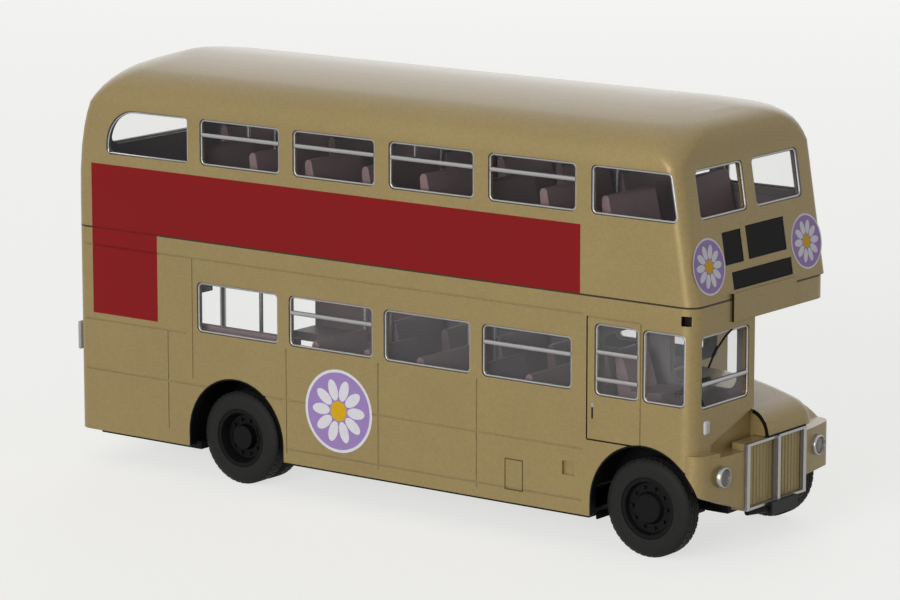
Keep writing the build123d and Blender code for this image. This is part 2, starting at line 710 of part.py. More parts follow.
# Axles. Columns: x, inner edge of its liners, rear and front limit of the liners, sides with a liner
axle_rows = [
    (front_axle_x, front_liner_inner, cab_floor_x + fit, cab_front_inner - fit, (offside,)),
    (rear_axle_x, rear_liner_inner, rear_axle_x - liner_radius, rear_axle_x + liner_radius, (offside, nearside)),
]
with BuildPart() as chassis:
    with BuildSketch(Plane.XY.offset(chassis_foot)):
        with Locations(((deck_rear + bulkhead_x) / 2, 0)):
            Rectangle(bulkhead_x - deck_rear, 2 * liner_face)
        with Locations(*[(rear_axle_x, side * (rear_liner_inner + half_width) / 2) for side in (offside, nearside)]):
            Rectangle(2 * (tyre_radius + tyre_room), half_width - rear_liner_inner, mode=Mode.SUBTRACT)
        for side in (offside, nearside):
            with Locations((deck_rear, side * liner_face)):
                Rectangle(2 * lower_rear_corner, 2 * lower_rear_corner, mode=Mode.SUBTRACT)
    extrude(amount=chassis_top - chassis_foot)
    with BuildSketch(Plane.XY.offset(chassis_top)):
        with Locations(((bulkhead_x - 2 * wall + cab_front_inner - fit) / 2, 0)):
            Rectangle(cab_front_inner - fit - bulkhead_x + 2 * wall, 2 * (bearing_y + bearing_wall / 2))
        with Locations(((cab_floor_x + front_axle_x + bearing_half) / 2, -front_liner_inner / 2)):
            Rectangle(front_axle_x + bearing_half - cab_floor_x - 2 * fit, front_liner_inner)
    extrude(amount=wall)
    with BuildSketch(Plane.XY.offset(chassis_foot)):
        with Locations((bulkhead_x - wall, 0)):
            Rectangle(2 * wall, 2 * (bearing_y + bearing_wall / 2))
    extrude(amount=2 * wall)
    for x, inner, start, end, covered in axle_rows:
        for side in covered:
            with BuildSketch(Plane.XZ.offset(-side * (inner - liner_wall))):
                with Locations((x, axle_z)):
                    Circle(liner_radius)
                with Locations(((start + end) / 2, chassis_foot + liner_radius)):
                    Rectangle(end - start, 2 * liner_radius, mode=Mode.INTERSECT)
            extrude(amount=-side * liner_wall)
            with BuildSketch(Plane.XZ.offset(-side * inner)):
                with Locations((x, axle_z)):
                    Circle(liner_radius)
                    Circle(liner_radius - liner_wall, mode=Mode.SUBTRACT)
                with Locations(((start + end) / 2, chassis_foot + liner_radius)):
                    Rectangle(end - start, 2 * liner_radius, mode=Mode.INTERSECT)
            extrude(amount=-side * (liner_face - inner))
        with BuildSketch(Plane.XY.offset(chassis_top - wall / 2)):
            with Locations((x, bearing_y), (x, -bearing_y)):
                Rectangle(2 * bearing_half, bearing_wall)
        extrude(amount=bearing_top - chassis_top + wall / 2)
        with BuildSketch(Plane.XZ):
            with Locations((x, axle_z)):
                Circle(axle_radius + bearing_clearance)
        extrude(amount=half_width, both=True, mode=Mode.SUBTRACT)
    # The front liner stops above the fascia's foot in front of the wheel
    with BuildSketch(Plane.XY.offset(chassis_foot - wall)):
        with Locations(((front_axle_x + bearing_half + front_x) / 2 + fit,
                        -(front_liner_inner - liner_wall + half_width) / 2)):
            Rectangle(front_x - front_axle_x - bearing_half, half_width - front_liner_inner + liner_wall)
    extrude(amount=liner_lip - chassis_foot + wall, mode=Mode.SUBTRACT)
    # Gearbox and tank covers under the pan. Columns: x, y, length, width
    for x, y, long, wide in [(14.0, 0.0, 9.0, 4.4), (-2.0, -4.0, 13.0, 5.0), (2.0, 5.2, 8.0, 4.0)]:
        with BuildSketch(Plane.XY.offset(chassis_foot)):
            with Locations((x, y)):
                Rectangle(long, wide)
        extrude(amount=-0.5)

def seat_profile(front, floor, back=seat_back):
    """Side outline of one seat: cushion block and leaning back."""
    with BuildLine() as edge:
        Polyline((front, floor), (front, floor + seat_cushion), (front - seat_depth + back_wall + 0.3,
                 floor + seat_cushion - 0.3), (front - seat_depth, floor + back),
                 (front - seat_depth - back_wall, floor + back), (front - seat_depth - 0.2, floor), close=True)
    make_face(edge.edges())


# Lower saloon: floor round the wheel arches, rows of seats, and benches over the rear arches
saloon_start = platform_front + fit
saloon_end = bulkhead_x - fit
bay = liner_radius + 2 * fit
bay_inner = rear_liner_inner - liner_wall - fit
lower_seat_pitch = 7.8
lower_seats_x = [bulkhead_x - 3.2 - n * lower_seat_pitch for n in range(5)]
bench_z = axle_z + liner_radius + fit
bench_cushion = 1.1
bench_back = 5.0
with BuildPart() as lower_floor:
    with BuildSketch(Plane.XY.offset(saloon_floor - saloon_slab)):
        with Locations(((saloon_start + saloon_end) / 2, 0)):
            Rectangle(saloon_end - saloon_start, 2 * (inside - fit))
        with Locations(*[(rear_axle_x, side * (bay_inner + half_width) / 2) for side in (offside, nearside)]):
            Rectangle(2 * bay, half_width - bay_inner, mode=Mode.SUBTRACT)
    extrude(amount=saloon_slab)
with BuildPart() as lower_seats:
    for side in (offside, nearside):
        with BuildSketch(Plane.XZ.offset(-side * seat_inner)):
            for front in lower_seats_x:
                seat_profile(front, saloon_floor + fit)
        extrude(amount=-side * (seat_outer - seat_inner))
        with BuildSketch(Plane.XY.offset(bench_z)):
            with Locations((rear_axle_x, side * (rear_liner_inner + seat_outer) / 2)):
                Rectangle(2 * liner_radius, seat_outer - rear_liner_inner)
        extrude(amount=bench_cushion)
        with BuildSketch(Plane.XY.offset(bench_z)):
            with Locations((rear_axle_x, side * (seat_outer - back_wall / 2))):
                Rectangle(2 * liner_radius, back_wall)
        extrude(amount=bench_back)

# Upper saloon: floor with the stair opening, and rows of seats
deck_front = front_at(deck_floor) - wall - 2 * fit
upper_seat_pitch = 8.5
upper_seats_x = [front_x - 7.5 - n * upper_seat_pitch for n in range(8)]
stair_front = platform_front - 0.8
stair_rear = rear_x + 6.5
stair_inner = -(inside - 6.8)
with BuildPart() as upper_floor:
    with BuildSketch(Plane.XY.offset(deck_floor - deck_slab)):
        with Locations(((deck_rear + deck_front) / 2, 0)):
            RectangleRounded(deck_front - deck_rear, 2 * (inside - fit), deck_corner)
        with Locations(((stair_front + stair_rear) / 2, (stair_inner - inside) / 2)):
            Rectangle(stair_front - stair_rear, inside + stair_inner - 0.3, mode=Mode.SUBTRACT)
    extrude(amount=deck_slab)
with BuildPart() as upper_seats:
    for side in (offside, nearside):
        with BuildSketch(Plane.XZ.offset(-side * seat_inner)):
            for front in upper_seats_x:
                seat_profile(front, deck_floor + fit)
        extrude(amount=-side * (seat_outer - seat_inner))
    with BuildSketch(Plane.XZ.offset(-seat_inner)):
        seat_profile(upper_seats_x[-1] - upper_seat_pitch, deck_floor + fit)
    extrude(amount=-(seat_outer - seat_inner))

# Staircase: steps that turn from the platform up the offside wall
step_count = 9
rise = (deck_floor - platform_floor) / (step_count + 1)
stair_x = rear_x + 4.1
tread = 2.3
with BuildPart() as staircase:
    for n in range(step_count):
        top = platform_floor + rise * (n + 1)
        if n < 4:
            middle, long, wide = (stair_x, 1.4 - tread * n), 5.6, 2.4
        else:
            middle, long, wide = (stair_x + (tread + fit) * (n - 4) + 0.6, -(inside - 3.1)), 4.4, 5.4
        if n == 4:
            middle, long, wide = (stair_x, -(inside - 3.6)), 5.6, 5.6
        with BuildSketch(Plane.XY.offset(max(top - 2.4 * rise, platform_floor + fit))):
            with Locations(middle):
                Rectangle(long, wide)
        extrude(amount=top - max(top - 2.4 * rise, platform_floor + fit))

# Rear platform and its pole
with BuildPart() as rear_platform:
    with BuildSketch(Plane.XY.offset(chassis_top + fit)):
        with Locations(((deck_rear + platform_front - fit) / 2, 0)):
            RectangleRounded(platform_front - fit - deck_rear, 2 * (inside - fit), lower_rear_corner - wall - fit)
        with Locations(*[(rear_axle_x, side * half_width) for side in (offside, nearside)]):
            Rectangle(2 * bay, 2 * (half_width - rear_liner_inner + liner_wall + fit), mode=Mode.SUBTRACT)
    extrude(amount=platform_floor - chassis_top - fit)
pole_x = rear_x + 2.8
pole_y = inside - 2.2
with BuildPart() as platform_pole:
    with BuildSketch(Plane.XY.offset(platform_floor + fit)):
        with Locations((pole_x, pole_y)):
            Circle(0.4)
    extrude(amount=deck_floor - deck_slab - platform_floor - 2 * fit)

# Driver's place
cab_floor = axle_z + liner_radius + fit
driver_back = 7.6
driver_y = cab_inner_y - 5.9
steering_x = bulkhead_x + 10.4
with BuildPart() as driver_seat:
    with BuildSketch(Plane.XY.offset(cab_floor)):
        with Locations(((cab_floor_x + cab_front_inner) / 2, (cab_inner_y - cab_wall - inside) / 2)):
            Rectangle(cab_front_inner - cab_floor_x - 2 * fit, inside + cab_inner_y - cab_wall - 2 * fit)
    extrude(amount=0.7)
    with BuildSketch(Plane.XZ.offset(-driver_y)):
        seat_profile(bulkhead_x + 7.8, cab_floor + 0.7, driver_back)
    extrude(amount=2.6, both=True)
steering_angle = 32.0
steering_plane = Plane(origin=(steering_x, driver_y, cab_floor + 5.2), x_dir=(0, 1, 0),
                       z_dir=(-sin(radians(steering_angle)), 0, cos(radians(steering_angle))))
with BuildPart() as steering_wheel:
    with BuildSketch(steering_plane):
        RegularPolygon(2.3, 20)
        RegularPolygon(1.95, 20, mode=Mode.SUBTRACT)
        Rectangle(4.2, 0.4)
        RegularPolygon(0.5, 8)
    extrude(amount=0.35)
    with BuildSketch(steering_plane):
        RegularPolygon(0.35, 8)
    extrude(amount=-(5.2 - 0.75) / cos(radians(steering_angle)))
    with BuildSketch(Plane.XY.offset(cab_floor + 0.7 + fit)):
        with Locations((steering_x + 2.8, driver_y)):
            Rectangle(8, 8)
    extrude(amount=-6, mode=Mode.SUBTRACT)

# Glazing: strips behind the walls, with pads that fill the windows
strip_out = inside - fit
strip_in = strip_out - strip
pad_out = half_width - pane_set


def pad_row(lefts, window_width, sill, head):
    """Window pads in a row, with corners cut off inside the round ones of the windows."""
    corner = window_corner * 0.8
    half, rise = window_width / 2 - fit, (head - sill) / 2 - fit
    for left in lefts:
        with BuildLine() as edge:
            Polyline((-half + corner, -rise), (half - corner, -rise), (half, -rise + corner), (half, rise - corner),
                     (half - corner, rise), (-half + corner, rise), (-half, rise - corner), (-half, -rise + corner),
                     close=True)
        with Locations((left + window_width / 2, (sill + head) / 2)):
            add(make_face(edge.edges(), mode=Mode.PRIVATE))


def upper_glazing(side):
    """Strip and pads for the upper windows of one side, in the part in hand."""
    start, foot, head = upper_lefts[-1] - strip_margin, upper_sill - strip_margin, wall_top - 2 * fit
    short = front_corner + strip_margin / 2
    with BuildSketch(Plane.XZ.offset(-side * strip_in)) as band:
        with BuildLine() as edge:
            Polyline((start, foot), (front_at(foot) - short, foot), (front_at(head) - short, head), (start, head),
                     close=True)
        make_face(edge.edges())
    extrude(band.sketch, amount=-side * strip)
    with BuildSketch(Plane.XZ.offset(-side * (strip_out - fit))) as pads:
        pad_row(upper_lefts, upper_width, upper_sill, upper_head)
        front_quarter(-fit)
    extrude(pads.sketch, amount=-side * (pad_out - strip_out + fit))


def lower_glazing(side):
    """Strip and pads for the lower windows of one side, in the part in hand."""
    start, end = lower_lefts[-1] - strip_margin, lower_lefts[0] + lower_width + strip_margin
    with BuildSketch(Plane.XZ.offset(-side * strip_in)) as band:
        with Locations(((start + end) / 2, (lower_sill + lower_head) / 2)):
            Rectangle(end - start, lower_head - lower_sill + 2 * strip_margin)
    extrude(band.sketch, amount=-side * strip)
    with BuildSketch(Plane.XZ.offset(-side * (strip_out - fit))) as pads:
        pad_row(lower_lefts, lower_width, lower_sill, lower_head)
    extrude(pads.sketch, amount=-side * (pad_out - strip_out + fit))


with BuildPart() as upper_glazing_offside:
    upper_glazing(offside)
with BuildPart() as upper_glazing_nearside:
    upper_glazing(nearside)
with BuildPart() as lower_glazing_offside:
    lower_glazing(offside)
with BuildPart() as lower_glazing_nearside:
    lower_glazing(nearside)
with BuildPart() as rear_quarter_glazing:
    for side in (offside, nearside):
        with BuildSketch(Plane.XZ.offset(-side * (inside + fit))):
            rear_quarter(-fit)
        extrude(amount=-side * (wall - pane_set - fit))
with BuildPart() as upper_front_glazing:
    with BuildSketch(front_plane.offset(-wall - fit - strip)):
        with Locations((0, up_front((upper_sill + upper_head) / 2))):
            Rectangle(2 * (front_window_outer + strip_margin), (upper_head - upper_sill) / cos(radians(front_lean)) + 1)
    extrude(amount=strip)
    with BuildSketch(front_plane.offset(-wall - 2 * fit)):
        front_windows(-fit)
    extrude(amount=wall - pane_set + 2 * fit)
with BuildPart() as upper_rear_glazing:
    upper_body(pane_set, seam_z)
    upper_body(wall, seam_z - wall, 2, Mode.SUBTRACT)
    with BuildSketch(Plane.YZ.offset(rear_x - wall)):
        rear_upper_window(-fit)
    extrude(amount=5 * wall, mode=Mode.INTERSECT)
with BuildPart() as lower_rear_glazing:
    with BuildSketch(Plane.YZ.offset(rear_x + pane_set)):
        across_windows([lower_rear_window], -fit)
    extrude(amount=wall - pane_set)
with BuildPart() as windscreen:
    with BuildSketch(Plane.YZ.offset(front_x - pane_set)):
        with Locations(((windscreen_outer + windscreen_inner) / 2, (cab_sill + cab_head) / 2 - 0.3)):
            RectangleRounded(windscreen_inner - windscreen_outer - 2 * fit, cab_head - cab_sill - 2 * fit,
                             window_corner - fit)
    extrude(amount=-(wall - pane_set))
with BuildPart() as cab_glazing:
    with BuildSketch(Plane.XZ.offset(inside)):
        for x, wide in cab_windows:
            with Locations((x, (cab_sill + cab_head) / 2)):
                RectangleRounded(wide - 2 * fit, cab_head - cab_sill - 2 * fit, window_corner - fit)
    extrude(amount=wall - pane_set)
    with BuildSketch(Plane.XZ.offset(-cab_inner_y)):
        with Locations((cab_inner_window_x, (cab_sill + cab_head) / 2)):
            RectangleRounded(cab_inner_window - 2 * fit, cab_head - cab_sill - 2 * fit, cab_inner_corner - fit)
    extrude(amount=cab_wall - 0.2)
with BuildPart() as bulkhead_glazing:
    with BuildSketch(Plane.YZ.offset(bulkhead_x)):
        across_windows(bulkhead_windows, -fit)
    extrude(amount=bulkhead_wall - 0.2)


def tyre_half(face, inner):
    """Half section of a tyre between two places across, for turning about the axle."""
    with BuildLine() as edge:
        Polyline((rim_radius, inner), (tyre_radius - tyre_shoulder, inner), (tyre_radius, inner + tyre_shoulder),
                 (tyre_radius, face - tyre_shoulder), (tyre_radius - tyre_shoulder, face), (rim_radius, face),
                 close=True)
    make_face(edge.edges())


def axle_plane(x):
    """Plane through an axle with its first direction up and its second across."""
    return Plane(origin=(x, 0, axle_z), x_dir=(0, 0, 1), z_dir=(-1, 0, 0))


def axle_line(x):
    """Axis of an axle."""
    return Axis((x, 0, axle_z), (0, 1, 0))


twin_inner = wheel_face - tyre_width - twin_gap
axle_end = wheel_face - 2.0
hub_seat = 0.02
with BuildPart() as front_axle:
    with BuildSketch(Plane.XZ.offset(-axle_end)):
        with Locations((front_axle_x, axle_z)):
            Circle(axle_radius)
    extrude(amount=2 * axle_end)
with BuildPart() as rear_axle:
    with BuildSketch(Plane.XZ.offset(-axle_end)):
        with Locations((rear_axle_x, axle_z)):
            Circle(axle_radius)
    extrude(amount=2 * axle_end)
with BuildPart() as front_tyres:
    with BuildSketch(axle_plane(front_axle_x)):
        tyre_half(wheel_face, wheel_face - tyre_width)
    revolve(axis=axle_line(front_axle_x))
    mirror(about=Plane.XZ)
with BuildPart() as rear_tyres:
    with BuildSketch(axle_plane(rear_axle_x)):
        tyre_half(wheel_face, wheel_face - tyre_width)
        tyre_half(twin_inner, twin_inner - tyre_width)
    revolve(axis=axle_line(rear_axle_x))
    mirror(about=Plane.XZ)
hub_radius = rim_radius - hub_seat
with BuildPart() as front_hubs:
    with BuildSketch(axle_plane(front_axle_x)):
        with BuildLine():
            Polyline((0, axle_end + hub_seat), (hub_radius, axle_end + hub_seat), (hub_radius, wheel_face - 0.15),
                     (hub_radius - 0.45, wheel_face - 0.15), (hub_radius - 0.7, wheel_face - 0.7),
                     (1.9, wheel_face - 0.7), (1.6, wheel_face - 0.15), (0, wheel_face - 0.15), close=True)
        make_face()
    revolve(axis=axle_line(front_axle_x))
    mirror(about=Plane.XZ)
with BuildPart() as rear_hubs:
    with BuildSketch(axle_plane(rear_axle_x)):
        with BuildLine():
            Polyline((axle_radius + hub_seat, twin_inner - tyre_width), (hub_radius, twin_inner - tyre_width),
                     (hub_radius, wheel_face - 0.15), (hub_radius - 0.45, wheel_face - 0.15),
                     (hub_radius - 0.9, wheel_face - 1.3), (1.6, wheel_face - 1.3), (1.4, wheel_face - 0.5),
                     (0, wheel_face - 0.5), (0, axle_end + hub_seat), (axle_radius + hub_seat, axle_end + hub_seat),
                     close=True)
        make_face()
    revolve(axis=axle_line(rear_axle_x))
    mirror(about=Plane.XZ)

pieces = {
    "upper_shell": upper_shell,
    "lower_shell": lower_shell,
    "bonnet": bonnet,
    "nearside_wing": nearside_wing,
    "radiator_grille": radiator_grille,
    "radiator_frame": radiator_frame,
    "headlamp_rims": headlamp_rims,
    "headlamp_lenses": headlamp_lenses,
    "front_plate": front_plate,
    "front_displays": front_displays,
    "rear_display": rear_display,
    "rear_lamp_box": rear_lamp_box,
    "tail_lamps": tail_lamps,
    "rear_plate": rear_plate,
    "chassis": chassis,
    "lower_floor": lower_floor,
    "lower_seats": lower_seats,
    "upper_floor": upper_floor,
    "upper_seats": upper_seats,
    "staircase": staircase,
    "rear_platform": rear_platform,
    "platform_pole": platform_pole,
    "driver_seat": driver_seat,
    "steering_wheel": steering_wheel,
    "upper_glazing_offside": upper_glazing_offside,
    "upper_glazing_nearside": upper_glazing_nearside,
    "lower_glazing_offside": lower_glazing_offside,
    "lower_glazing_nearside": lower_glazing_nearside,
    "rear_quarter_glazing": rear_quarter_glazing,
    "upper_front_glazing": upper_front_glazing,
    "upper_rear_glazing": upper_rear_glazing,
    "lower_rear_glazing": lower_rear_glazing,
    "windscreen": windscreen,
    "cab_glazing": cab_glazing,
    "bulkhead_glazing": bulkhead_glazing,
    "front_axle": front_axle,
    "front_hubs": front_hubs,
    "front_tyres": front_tyres,
    "rear_axle": rear_axle,
    "rear_hubs": rear_hubs,
    "rear_tyres": rear_tyres,
}

os.makedirs("parts", exist_ok=True)
for name, piece in pieces.items():
    piece.part.label = name
    export_step(piece.part, f"parts/{name}.step")
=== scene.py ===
import json
import math
from functools import cache, partial

import bmesh
import bpy
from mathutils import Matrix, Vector


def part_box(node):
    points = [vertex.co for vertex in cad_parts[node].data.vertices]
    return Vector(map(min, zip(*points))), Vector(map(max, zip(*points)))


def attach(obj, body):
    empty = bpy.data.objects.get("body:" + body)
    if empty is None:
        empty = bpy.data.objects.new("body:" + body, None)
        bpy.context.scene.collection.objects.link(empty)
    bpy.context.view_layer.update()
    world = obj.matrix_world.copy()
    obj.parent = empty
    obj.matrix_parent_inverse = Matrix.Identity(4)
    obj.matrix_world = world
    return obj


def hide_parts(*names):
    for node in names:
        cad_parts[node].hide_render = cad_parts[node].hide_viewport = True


bl_info = {
    "name": "Half-cab double decker model bus",
    "version": (1, 0, 0),
    "blender": (4, 5, 0),
    "location": "3D View > Sidebar > Bus",
    "description": "Dresses the solids of a small plastic model bus with paint, prints, trim and glazing",
    "category": "Object",
}

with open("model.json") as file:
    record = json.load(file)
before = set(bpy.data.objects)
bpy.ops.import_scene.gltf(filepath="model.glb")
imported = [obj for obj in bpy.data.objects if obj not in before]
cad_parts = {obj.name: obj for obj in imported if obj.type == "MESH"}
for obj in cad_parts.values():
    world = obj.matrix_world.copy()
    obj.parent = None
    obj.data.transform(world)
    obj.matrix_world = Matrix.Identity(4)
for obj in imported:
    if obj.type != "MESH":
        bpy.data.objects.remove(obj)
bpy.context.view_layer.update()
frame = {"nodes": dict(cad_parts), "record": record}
nodes = frame["nodes"]
MM = 0.001


def srgb(code):
    """Linear colour with alpha from an sRGB hex value."""
    parts = [int(code[n:n + 2], 16) / 255 for n in (1, 3, 5)]
    return tuple(c / 12.92 if c <= 0.04045 else ((c + 0.055) / 1.055) ** 2.4 for c in parts) + (1.0,)


def tint(code, name, description):
    """Colour property with a hex default."""
    return bpy.props.FloatVectorProperty(name=name, description=description, subtype="COLOR", size=4, min=0, max=1,
                                         default=srgb(code))


def span(mm, name, description):
    """Length property with a default in millimetres."""
    return bpy.props.FloatProperty(name=name, description=description, default=mm * MM, subtype="DISTANCE",
                                   unit="LENGTH", precision=5)


class BusPaint(bpy.types.PropertyGroup):
    """Colours of the paint, prints and bare mouldings."""

    gold: tint("#9E8A5C", "Gold", "Metallic lacquer of the body")
    red: tint("#8C1519", "Red", "Printed band along the sides")
    lilac: tint("#A98CC8", "Lilac", "Ground of the round badges")
    yellow: tint("#E6B422", "Yellow", "Hearts of the round badges")
    white: tint("#EDEBF0", "White", "Petals and rims of the round badges")
    silver: tint("#A9A8A8", "Silver", "Foil on window frames, bars and lamp rims")
    black: tint("#0D0D0D", "Black", "Moulded chassis, hubs and arch liners")
    tyre: tint("#1D1D1C", "Tyre", "Moulded tyres")
    inside: tint("#8E7476", "Inside", "Moulded seats and floors")
    bare: tint("#8C8486", "Bare inside", "Unpainted inner face of the two shells")
    blind: tint("#070605", "Display", "Blank destination displays")
    plate: tint("#1B1C1E", "Plate", "Blank number plates")
    lamp: tint("#7A1012", "Red lamp", "Tail lamp lenses")
    milk: tint("#DEDCD6", "White lamp", "Side lamp lens")
    pale: tint("#B4B5B1", "Lamp box", "Rear lamp box")
    floor: tint("#A9AAA7", "Floor", "Studio floor")


class BusSizes(bpy.types.PropertyGroup):
    """Places and widths of what is printed or fastened on the body."""

    band_back: span(-43.8, "Band back", "Rear end of the red band")
    band_front: span(29.1, "Band front", "Front end of the red band")
    band_top: span(37.2, "Band top", "Upper edge of the red band")
    seam: span(29.3, "Seam", "Height where the two shells meet, and lower edge of the band")
    stem_front: span(-33.4, "Stem front", "Front edge of the band's stem at the rear")
    stem_foot: span(18.6, "Stem foot", "Lower end of the band's stem")
    frame_width: span(0.26, "Frame width", "Width of the silver window frames")
    bar_width: span(0.45, "Bar width", "Width of the silver bars across opening windows")
    badge_radius: span(5.0, "Side badge", "Radius of the round badge on each side")
    front_badge_radius: span(3.2, "Front badge", "Radius of the two round badges on the front")


def paint():
    return bpy.context.scene.bus_paint


def sizes():
    return bpy.context.scene.bus_sizes


def put(tree, kind, inputs=None, **settings):
    """One node with its settings; an input takes a value, a socket, or a node, whose first live output is used."""
    made = tree.nodes.new(kind)
    for name, value in settings.items():
        setattr(made, name, value)
    for name, value in (inputs or {}).items():
        if isinstance(value, bpy.types.Node):
            value = next(output for output in value.outputs if output.enabled)
        if isinstance(value, bpy.types.NodeSocket):
            tree.links.new(value, made.inputs[name])
        else:
            made.inputs[name].default_value = value
    return made


def start(name):
    """Empty material of a name, what adds a node to it, and its object coordinates."""
    made = bpy.data.materials.new(name)
    made.use_nodes = True
    made.node_tree.nodes.clear()
    add = partial(put, made.node_tree)
    return made, add, add("ShaderNodeTexCoord").outputs["Object"]


PRINT_EDGE = 0.02 * MM


def between(add, value, low, high):
    """Mask that is 1 where a value lies between two limits, with the soft edge of a printed film."""
    slopes = [add("ShaderNodeMapRange", {"Value": value, "From Min": limit - soft, "From Max": limit + soft},
                  interpolation_type="SMOOTHSTEP") for limit, soft in ((low, PRINT_EDGE), (high, -PRINT_EDGE))]
    return add("ShaderNodeMath", {0: slopes[0], 1: slopes[1]}, operation="MULTIPLY")


def mottled(add, colour, noise, low, high):
    """Colour that a noise makes darker or paler between two levels."""
    shade = add("ShaderNodeMapRange", {"Value": noise, "To Min": low, "To Max": high})
    return add("ShaderNodeVectorMath", {0: tuple(colour)[:3], "Scale": shade}, operation="SCALE")


def rubbed_edges(add, radius_mm, most):
    """Normal eased over the edges, and the share of rubbed colour there, found where it leaves the true normal."""
    normal = add("ShaderNodeNewGeometry").outputs["Normal"]
    eased = add("ShaderNodeBevel", {"Radius": radius_mm * MM}, samples=4)
    along = add("ShaderNodeVectorMath", {0: normal, 1: eased}, operation="DOT_PRODUCT")
    return eased, add("ShaderNodeMapRange", {"Value": along, "From Min": 0.99, "From Max": 0.85, "To Max": most})


# Limits in millimetres that the lacquer reads: the flat of the sides, the tongue on the front, the joint of the shells
SIDE_FLAT = 13.85
TONGUE_X, TONGUE_HALF = 44.54, 6.5
JOINT_BELOW, JOINT_ABOVE = 0.17, 0.05


def gold_lacquer():
    """Metallic lacquer sprayed on styrene, with the printed red band.

    Fine flake gives a slight sparkle, the film is thin and paler on edges, and the inner faces are bare plastic; the
    joint of the shells and some grooves carry painted shade.
    """
    made, add, place = start("gold_lacquer_on_styrene")
    p, s = paint(), sizes()
    axes = add("ShaderNodeSeparateXYZ", {"Vector": place}).outputs
    cloud = add("ShaderNodeTexNoise", {"Vector": place, "Scale": 1 / (9 * MM), "Detail": 3.0})
    shade = add("ShaderNodeMapRange", {"Value": cloud, "To Min": 0.93, "To Max": 1.07})
    # Flake is about 0.05 mm and drawn at 0.25 mm so that it shows
    flake = add("ShaderNodeTexVoronoi", {"Vector": place, "Scale": 1 / (0.25 * MM)})
    sparkle = add("ShaderNodeSeparateColor", {"Color": flake.outputs["Color"]})
    glint = add("ShaderNodeMapRange", {"Value": sparkle, "To Min": 0.95, "To Max": 1.05})
    level = add("ShaderNodeMath", {0: shade, 1: glint}, operation="MULTIPLY")
    film = add("ShaderNodeVectorMath", {0: p.gold[:3], "Scale": level}, operation="SCALE")
    eased, worn = rubbed_edges(add, 0.12, 0.35)
    film = add("ShaderNodeMix", {"Factor": worn, "A": film, "B": srgb("#C2B184")}, data_type="RGBA")
    # Band along the sides with a stem at the rear; the open platform takes the stem's place on the nearside
    band, stem = [add("ShaderNodeMath", {0: between(add, axes["X"], s.band_back, front),
                                         1: between(add, axes["Z"], foot, s.band_top)}, operation="MULTIPLY")
                  for front, foot in ((s.band_front, s.seam), (s.stem_front, s.stem_foot))]
    offside = add("ShaderNodeMath", {0: axes["Y"], 1: 0.0}, operation="LESS_THAN")
    stem = add("ShaderNodeMath", {0: stem, 1: offside}, operation="MULTIPLY")
    inked = add("ShaderNodeMath", {0: band, 1: stem}, operation="MAXIMUM")
    across = add("ShaderNodeMath", {0: axes["Y"]}, operation="ABSOLUTE")
    side = add("ShaderNodeMath", {0: across, 1: SIDE_FLAT * MM}, operation="GREATER_THAN")
    inked = add("ShaderNodeMath", {0: inked, 1: side}, operation="MULTIPLY")
    ink = add("ShaderNodeVectorMath", {0: p.red[:3], "Scale": shade}, operation="SCALE")
    # Painted shadow in the joint between the shells; the tongue on the front hangs over it, and ink closes part of it
    joint = between(add, axes["Z"], s.seam - JOINT_BELOW * MM, s.seam + JOINT_ABOVE * MM)
    ahead = add("ShaderNodeMath", {0: axes["X"], 1: TONGUE_X * MM}, operation="GREATER_THAN")
    middle = between(add, axes["Y"], -TONGUE_HALF * MM, TONGUE_HALF * MM)
    tongue = add("ShaderNodeMath", {0: middle, 1: ahead}, operation="MULTIPLY")
    filled = add("ShaderNodeMath", {0: inked, 1: 0.55}, operation="MULTIPLY")
    cover = add("ShaderNodeMath", {0: tongue, 1: filled}, operation="MAXIMUM")
    depth = add("ShaderNodeMapRange", {"Value": cover, "To Min": 0.92, "To Max": 0.0})
    shadow = add("ShaderNodeMath", {0: joint, 1: depth}, operation="MULTIPLY")
    # Levels of the skin's own attribute: above 0.5 is bare plastic and above 1.5 painted shade in a groove, socket or
    # step
    kept = add("ShaderNodeAttribute", attribute_name="inner").outputs["Fac"]
    bare = add("ShaderNodeMath", {0: kept, 1: 0.5}, operation="GREATER_THAN")
    gap_shade = add("ShaderNodeMath", {0: kept, 1: 1.5}, operation="GREATER_THAN")
    colour = film
    # Over the film go the red ink, the painted shadow in the joint, bare plastic and the painted shade in grooves
    for share, over in ((inked, ink), (shadow, srgb("#20180C")), (bare, tuple(p.bare)), (gap_shade, srgb("#1C140A"))):
        colour = add("ShaderNodeMix", {"Factor": share, "A": colour, "B": over}, data_type="RGBA")
    # Sprayed from above, so faces that look up have the fullest clear coat; ink and bare plastic have none
    normal = add("ShaderNodeNewGeometry").outputs["Normal"]
    rise = add("ShaderNodeSeparateXYZ", {"Vector": normal}).outputs["Z"]
    laid = add("ShaderNodeMapRange", {"Value": rise, "From Min": 0.5, "From Max": 0.85, "To Min": 0.3})
    dull = add("ShaderNodeMath", {0: bare, 1: inked}, operation="MAXIMUM")
    coat = add("ShaderNodeMapRange", {"Value": dull, "To Min": laid, "To Max": 0.0})
    flaked = add("ShaderNodeMapRange", {"Value": dull, "To Min": 0.3, "To Max": 0.0})
    rough = add("ShaderNodeMapRange", {"Value": cloud, "To Min": 0.40, "To Max": 0.50})
    peel = add("ShaderNodeTexNoise", {"Vector": place, "Scale": 1 / (0.5 * MM), "Detail": 2.0})
    bump = add("ShaderNodeBump", {"Height": peel, "Strength": 0.06, "Distance": 0.05 * MM, "Normal": eased})
    shader = add("ShaderNodeBsdfPrincipled", {"Base Color": colour, "Metallic": flaked, "Roughness": rough,
                                              "Normal": bump, "Specular IOR Level": 0.15, "Coat Weight": coat,
                                              "Coat Roughness": 0.16, "Coat IOR": 1.46})
    add("ShaderNodeOutputMaterial", {"Surface": shader})
    return made


